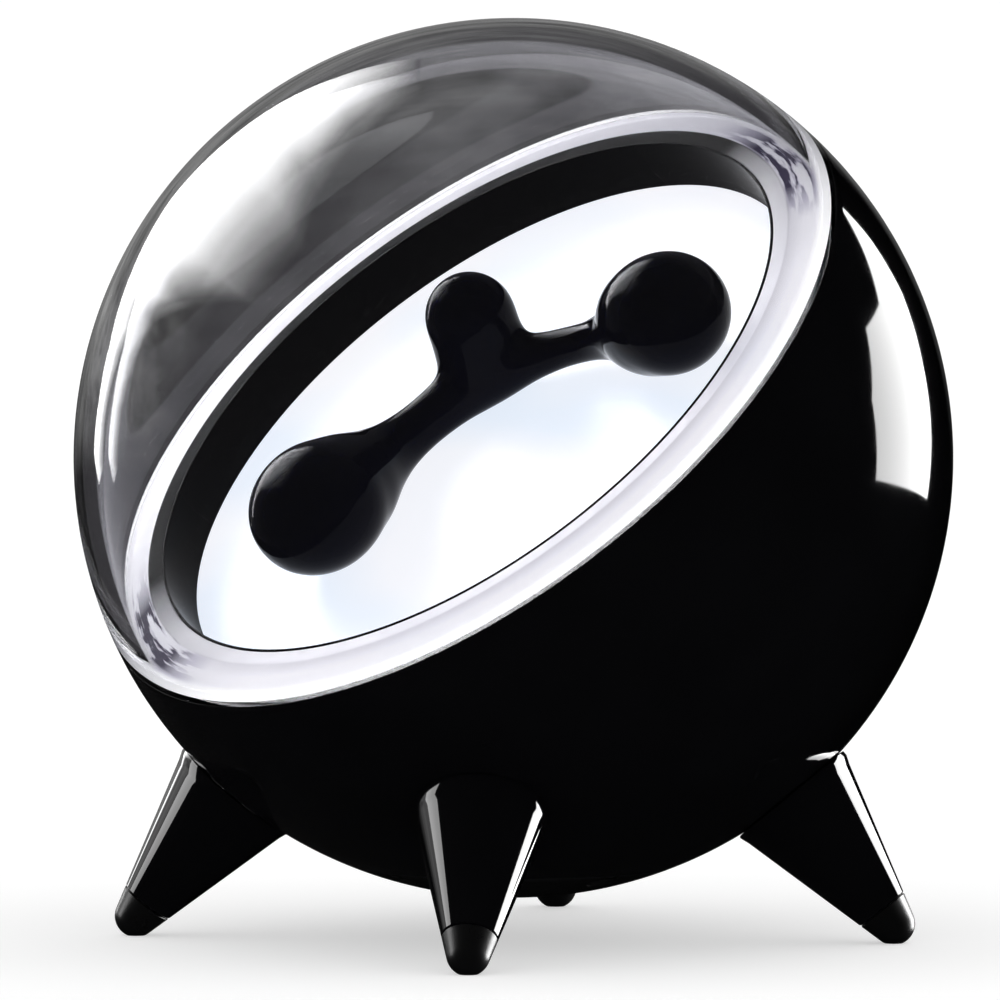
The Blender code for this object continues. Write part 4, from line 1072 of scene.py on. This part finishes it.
@dataclass
class Inside:
    """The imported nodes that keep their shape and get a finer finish."""

    frame: dict
    finishes: tuple[object, ...] = (
        SATIN_BLACK,
        ACETAL,
        GUIDE,
        REFLECTOR,
        SOLDER_MASK,
        CELL_SLEEVE,
        STEEL,
        ZINC,
        NICKEL,
        BRASS,
    )

    def build(self) -> None:
        """Dress each shown node by its slot in the record."""
        by_slot = {finish.slot: finish.material() for finish in self.finishes}
        slots = {row["node"]: row["material_slot"] for row in self.frame["record"]["subparts"]}
        for name, ob in self.frame["nodes"].items():
            if ob.hide_render:
                continue
            material = by_slot[slots[name]]
            for slot in ob.material_slots:
                slot.material = material
            LOG.info("%s keeps its shape", name)


# --- Studio --------------------------------------------------------------------------------------


Outline = tuple[tuple[float, float], ...]


@dataclass(frozen=True)
class Panel:
    """A glowing panel that shows only in reflections and through the dome.

    Its two long edges run side by side, and its glow changes from the first to the second.
    """

    name: str
    towards: tuple[float, float, float]  # from the ball: to the camera's right, up, and to the camera
    first: Outline  # metres across and up, seen from the ball
    second: Outline
    glow: float  # radiance
    fade: tuple[tuple[float, float], ...]  # place from the first edge to the second, to share of the glow
    ends: tuple[tuple[float, float], ...] = ((0.0, 1.0), (1.0, 1.0))  # the same along both edges
    distance: float = 1.0


@dataclass(frozen=True)
class LegLight:
    """A soft light that only the legs catch."""

    name: str
    towards: tuple[float, float, float]  # as a panel's
    size: tuple[float, float]
    glow: float
    distance: float = 1.0


WINDOW = Panel(
    "window",
    (0.71, 0.15, -0.64),
    ((0.069, -0.231), (0.114, -0.111), (0.149, -0.009), (0.208, 0.087), (0.20, 0.14), (0.195, 0.197), (0.158, 0.31)),
    (
        (-0.489, -0.207),
        (-0.475, -0.09),
        (-0.462, 0.03),
        (-0.31, 0.199),
        (-0.101, 0.181),
        (0.03, 0.245),
        (0.15, 0.312),
    ),
    9.0,
    ((0.0, 1.0), (1.0, 0.9)),
)
SKY = Panel(
    "sky",
    (-0.52, 0.56, -0.60),
    (
        (-0.353, 0.238),
        (-0.304, 0.043),
        (-0.297, -0.084),
        (-0.275, -0.189),
        (-0.26, -0.306),
        (-0.131, -0.372),
        (-0.011, -0.466),
        (0.019, -0.575),
        (0.011, -0.697),
        (0.083, -0.772),
    ),
    (
        (-0.18, 0.46),
        (0.10, 0.44),
        (0.42, 0.46),
        (0.78, 0.50),
        (0.95, 0.20),
        (0.46, -0.16),
        (0.24, -0.319),
        (0.19, -0.432),
        (0.168, -0.575),
        (0.174, -0.72),
    ),
    8.5,
    ((0.0, 0.7), (0.12, 1.0), (0.42, 0.9), (0.68, 0.4), (1.0, 0.0)),
    ((0.0, 0.0), (0.14, 0.9), (0.3, 1.0), (0.9, 1.0), (1.0, 0.5)),
)
LEG_LIGHTS = (
    LegLight("leg_light_left", (-0.97, 0.24, -0.10), (0.36, 0.70), 5.0),
    LegLight("leg_light_right", (0.86, 0.10, -0.50), (0.62, 0.80), 14.0),
)
CARD = Panel(
    "smoke_card",
    (0.0, 0.0, -1.0),
    ((-0.12, -0.12), (-0.12, 0.12)),
    ((0.12, -0.12), (0.12, 0.12)),
    1.0,
    ((0.0, 0.22), (0.3, 0.19), (0.5, 0.11), (0.68, 0.05), (0.85, 0.02), (1.0, 0.015)),
    distance=0.3,
)


@dataclass
class Studio:
    """The floor, the air around, the lights and the camera."""

    place: Place
    azimuth: float = radians(51.57)
    elevation: float = radians(2.73)
    distance: float = 1.669
    lens: float = 406.4
    aside: float = -1.98 * MM  # of the aim from the ball's centre, to the camera's right
    above: float = -6.23 * MM
    floor_size: float = 80.0
    panels: tuple[Panel, ...] = (WINDOW, SKY)

    def __post_init__(self) -> None:
        """Work out the camera's own directions."""
        a, e = self.azimuth, self.elevation
        self.back = Vector((sin(a) * cos(e), -cos(a) * cos(e), sin(e)))
        self.right = Vector((cos(a), sin(a), 0.0))
        self.up = self.back.cross(self.right)

    def build(self) -> None:
        """Build all of it."""
        self.build_floor()
        self.build_air()
        for panel in self.panels:
            self.build_panel(panel)
        self.build_card()
        for light in LEG_LIGHTS:
            self.build_leg_light(light)
        self.build_camera()
        view = bpy.context.scene.view_settings
        view.view_transform = "Standard"
        view.look = "None"

    def build_floor(self) -> None:
        """A wide pale floor that no gloss mirrors and that stops no light."""
        bm = bmesh.new()
        bmesh.ops.create_grid(bm, x_segments=1, y_segments=1, size=self.floor_size / 2)
        floor = thing("floor", bm)
        sheet = Sheet("floor_paper")
        grey = [(0.3, (0.58, 0.58, 0.58)), (0.7, (0.60, 0.60, 0.60))]
        sheet.shader(
            {"Base Color": sheet.ramp(sheet.noise(8.0, 2.0), grey)},
            {
                "Roughness": 0.9,
                "Specular IOR Level": 0.0,
                "Emission Color": (1.0, 1.0, 1.0, 1.0),
                "Emission Strength": 0.5,
            },
        )
        floor.data.materials.append(sheet.material)
        floor.visible_glossy = False
        floor.visible_transmission = False
        floor.visible_shadow = False

    def build_air(self) -> None:
        """Even white air, which gloss sees as a dark room, paler to the left, and glass as a grey one."""
        world = bpy.data.worlds.new("studio")
        bpy.context.scene.world = world
        world.use_nodes = True
        tree = world.node_tree
        tree.nodes.clear()

        def add(kind: str, *sources: bpy.types.NodeSocket, **settings: object) -> bpy.types.Node:
            node = tree.nodes.new("ShaderNode" + kind)
            for key, value in settings.items():
                setattr(node, key, value)
            for socket, source in zip(node.inputs, sources, strict=False):
                tree.links.new(source, socket)
            return node

        path = add("LightPath").outputs
        at = add("TexCoord").outputs["Generated"]
        stretched = add("Mapping", at)
        stretched.inputs["Scale"].default_value = (5.0, 5.0, 16.0)
        clouds = add("TexNoise", stretched.outputs[0])
        clouds.inputs["Scale"].default_value = 1.0
        clouds.inputs["Detail"].default_value = 5.0
        clouds.inputs["Roughness"].default_value = 0.62
        patchy = add("MapRange", clouds.outputs["Fac"])
        for key, value in {"From Min": 0.36, "From Max": 0.68, "To Min": 0.45, "To Max": 1.35}.items():
            patchy.inputs[key].default_value = value
        sides = []
        for way, stops in (
            (-self.right, ((0.0, 0.0), (0.35, 0.0), (0.45, 0.2), (0.7, 0.6), (0.95, 0.85))),
            (-self.back, ((0.0, 0.01), (0.55, 0.02), (0.67, 1.0), (1.0, 1.0))),
            (Vector((0.0, 0.0, 1.0)), ((0.0, 0.0), (0.47, 0.02), (0.54, 1.0), (1.0, 1.0))),
        ):
            along = add("VectorMath", at, operation="DOT_PRODUCT")
            along.inputs[1].default_value = way
            shifted = add("MapRange", along.outputs["Value"])
            shifted.inputs["From Min"].default_value = -1.0
            rising = add("ValToRGB", shifted.outputs[0])
            elements = rising.color_ramp.elements
            while len(elements) < len(stops):
                elements.new(0.5)
            for element, (spot, value) in zip(elements, stops, strict=True):
                element.position = spot
                element.color = (value, value, value, 1.0)
            sides.append(rising.outputs["Color"])
        two = add("VectorMath", *sides[:2], operation="MULTIPLY")
        three = add("VectorMath", two.outputs[0], sides[2], operation="MULTIPLY")
        gloss = add("Background", three.outputs[0])
        tree.links.new(patchy.outputs[0], gloss.inputs["Strength"])
        glass = add("Background")
        glass.inputs["Color"].default_value = (0.100, 0.098, 0.106, 1.0)
        room = add("MixShader", path["Is Transmission Ray"], gloss.outputs[0], glass.outputs[0])
        white = add("Background")
        white.inputs["Color"].default_value = (1.0, 1.0, 1.0, 1.0)
        seen = add("Math", path["Is Camera Ray"], path["Is Diffuse Ray"], operation="MAXIMUM")
        both = add("MixShader", seen.outputs[0], room.outputs[0], white.outputs[0])
        add("OutputWorld", both.outputs[0])

    def towards(self, parts: tuple[float, float, float]) -> Vector:
        """A direction from its parts to the camera's right, up and to the camera."""
        x, y, z = parts
        return (self.right * x + self.up * y + self.back * z).normalized()

    def strip(self, panel: Panel) -> tuple[bpy.types.Object, Sheet, bpy.types.NodeSocket, bpy.types.NodeSocket]:
        """A strip of faces between a panel's two edges, and a sheet with the glow's place on it.

        Args:
            panel: what to draw.

        Returns:
            The object, its sheet, the glow from the fades and the place as a vector.
        """
        way = self.towards(panel.towards)
        rise = (Vector((0.0, 0.0, 1.0)) - way * way.z).normalized()
        across = rise.cross(way)
        middle = self.place.centre + way * panel.distance
        bm = bmesh.new()
        layer = bm.loops.layers.uv.new("edges")
        rows = [
            [bm.verts.new(middle + across * u + rise * v) for u, v in row] for row in (panel.first, panel.second)
        ]
        last = len(panel.first) - 1
        for i in range(last):
            corners = [rows[0][i], rows[1][i], rows[1][i + 1], rows[0][i + 1]]
            low, high = i / last, (i + 1) / last
            spots = ((0.0, low), (1.0, low), (1.0, high), (0.0, high))
            for loop, spot in zip(bm.faces.new(corners).loops, spots, strict=True):
                loop[layer].uv = spot
        ob = thing(panel.name, bm)
        sheet = Sheet(panel.name)
        edges = sheet.add("UVMap", uv_map="edges").outputs[0]
        parts = sheet.add("SeparateXYZ", {0: edges}).outputs
        fades = [
            sheet.ramp(part, [(at, (share,) * 3) for at, share in stops])
            for part, stops in ((parts[0], panel.fade), (parts[1], panel.ends))
        ]
        glow = sheet.mix(None, *fades, "MULTIPLY")
        ob.data.materials.append(sheet.material)
        ob.visible_camera = False
        ob.visible_diffuse = False
        ob.visible_shadow = False
        return ob, sheet, glow, edges

    def build_panel(self, panel: Panel) -> None:
        """One panel, hidden from the camera and from matt things."""
        _, sheet, glow, _ = self.strip(panel)
        light = sheet.add("Emission", {"Color": glow}, {"Strength": panel.glow})
        sheet.tree.links.new(light.outputs[0], sheet.out.inputs["Surface"])

    def build_card(self) -> None:
        """A dim streaky card behind the ball, which shows through the dome only."""
        ob, sheet, glow, edges = self.strip(CARD)
        drawn = sheet.add("Mapping", {"Vector": edges}, {"Scale": (5.0, 34.0, 1.0), "Rotation": (0.0, 0.0, 0.25)})
        clouds = sheet.span(sheet.noise(7.0, 3.0, 0.55, edges), 0.45, 1.55, 0.35, 0.65)
        streaks = sheet.span(sheet.noise(1.0, 4.0, 0.6, drawn.outputs[0]), 0.75, 1.25, 0.3, 0.7)
        streaks = sheet.add("Math", {0: clouds, 1: streaks}, operation="MULTIPLY").outputs[0]
        light = sheet.add("Emission", {"Color": glow, "Strength": streaks})
        sheet.tree.links.new(light.outputs[0], sheet.out.inputs["Surface"])
        ob.visible_glossy = False

    def build_leg_light(self, kind: LegLight) -> None:
        """One area light, aimed at the ball, that lights the legs only."""
        light = bpy.data.lights.new(kind.name, "AREA")
        light.shape = "RECTANGLE"
        light.size, light.size_y = kind.size
        light.energy = kind.glow * pi * kind.size[0] * kind.size[1]
        ob = bpy.data.objects.new(kind.name, light)
        bpy.context.collection.objects.link(ob)
        way = self.towards(kind.towards)
        ob.location = self.place.centre + way * kind.distance
        ob.rotation_euler = way.to_track_quat("Z", "Y").to_euler()
        ob.visible_camera = False
        ob.visible_diffuse = False
        lit = bpy.data.collections.new(kind.name)
        for other in bpy.data.objects:
            if other.name.startswith(("cone_", "tip_")):
                lit.objects.link(other)
        ob.light_linking.receiver_collection = lit

    def build_camera(self) -> None:
        """The camera, a long lens a little above the ball."""
        data = bpy.data.cameras.new("camera")
        data.lens = self.lens
        data.sensor_width = 36.0
        data.clip_start = 0.05
        data.clip_end = 200.0
        camera = bpy.data.objects.new("camera", data)
        bpy.context.collection.objects.link(camera)
        camera.location = self.place.centre + self.back * self.distance
        aim = self.place.centre + self.right * self.aside + self.up * self.above
        camera.rotation_euler = (aim - camera.location).to_track_quat("-Z", "Y").to_euler()
        bpy.context.scene.camera = camera


def main() -> None:
    """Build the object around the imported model, then the studio."""
    logging.basicConfig(level=logging.INFO, format="%(name)s: %(message)s")
    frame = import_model()
    place = Place.of(frame)
    builders: list[Callable[[], None]] = [
        Shell(place).build,
        Dome(place).build,
        Display(place).build,
        Fluid(place).build,
        Legs(place).build,
        Rear(place).build,
        Inside(frame).build,
        Studio(place).build,
    ]
    for build in builders:
        build()


if __name__ == "__main__":
    main()
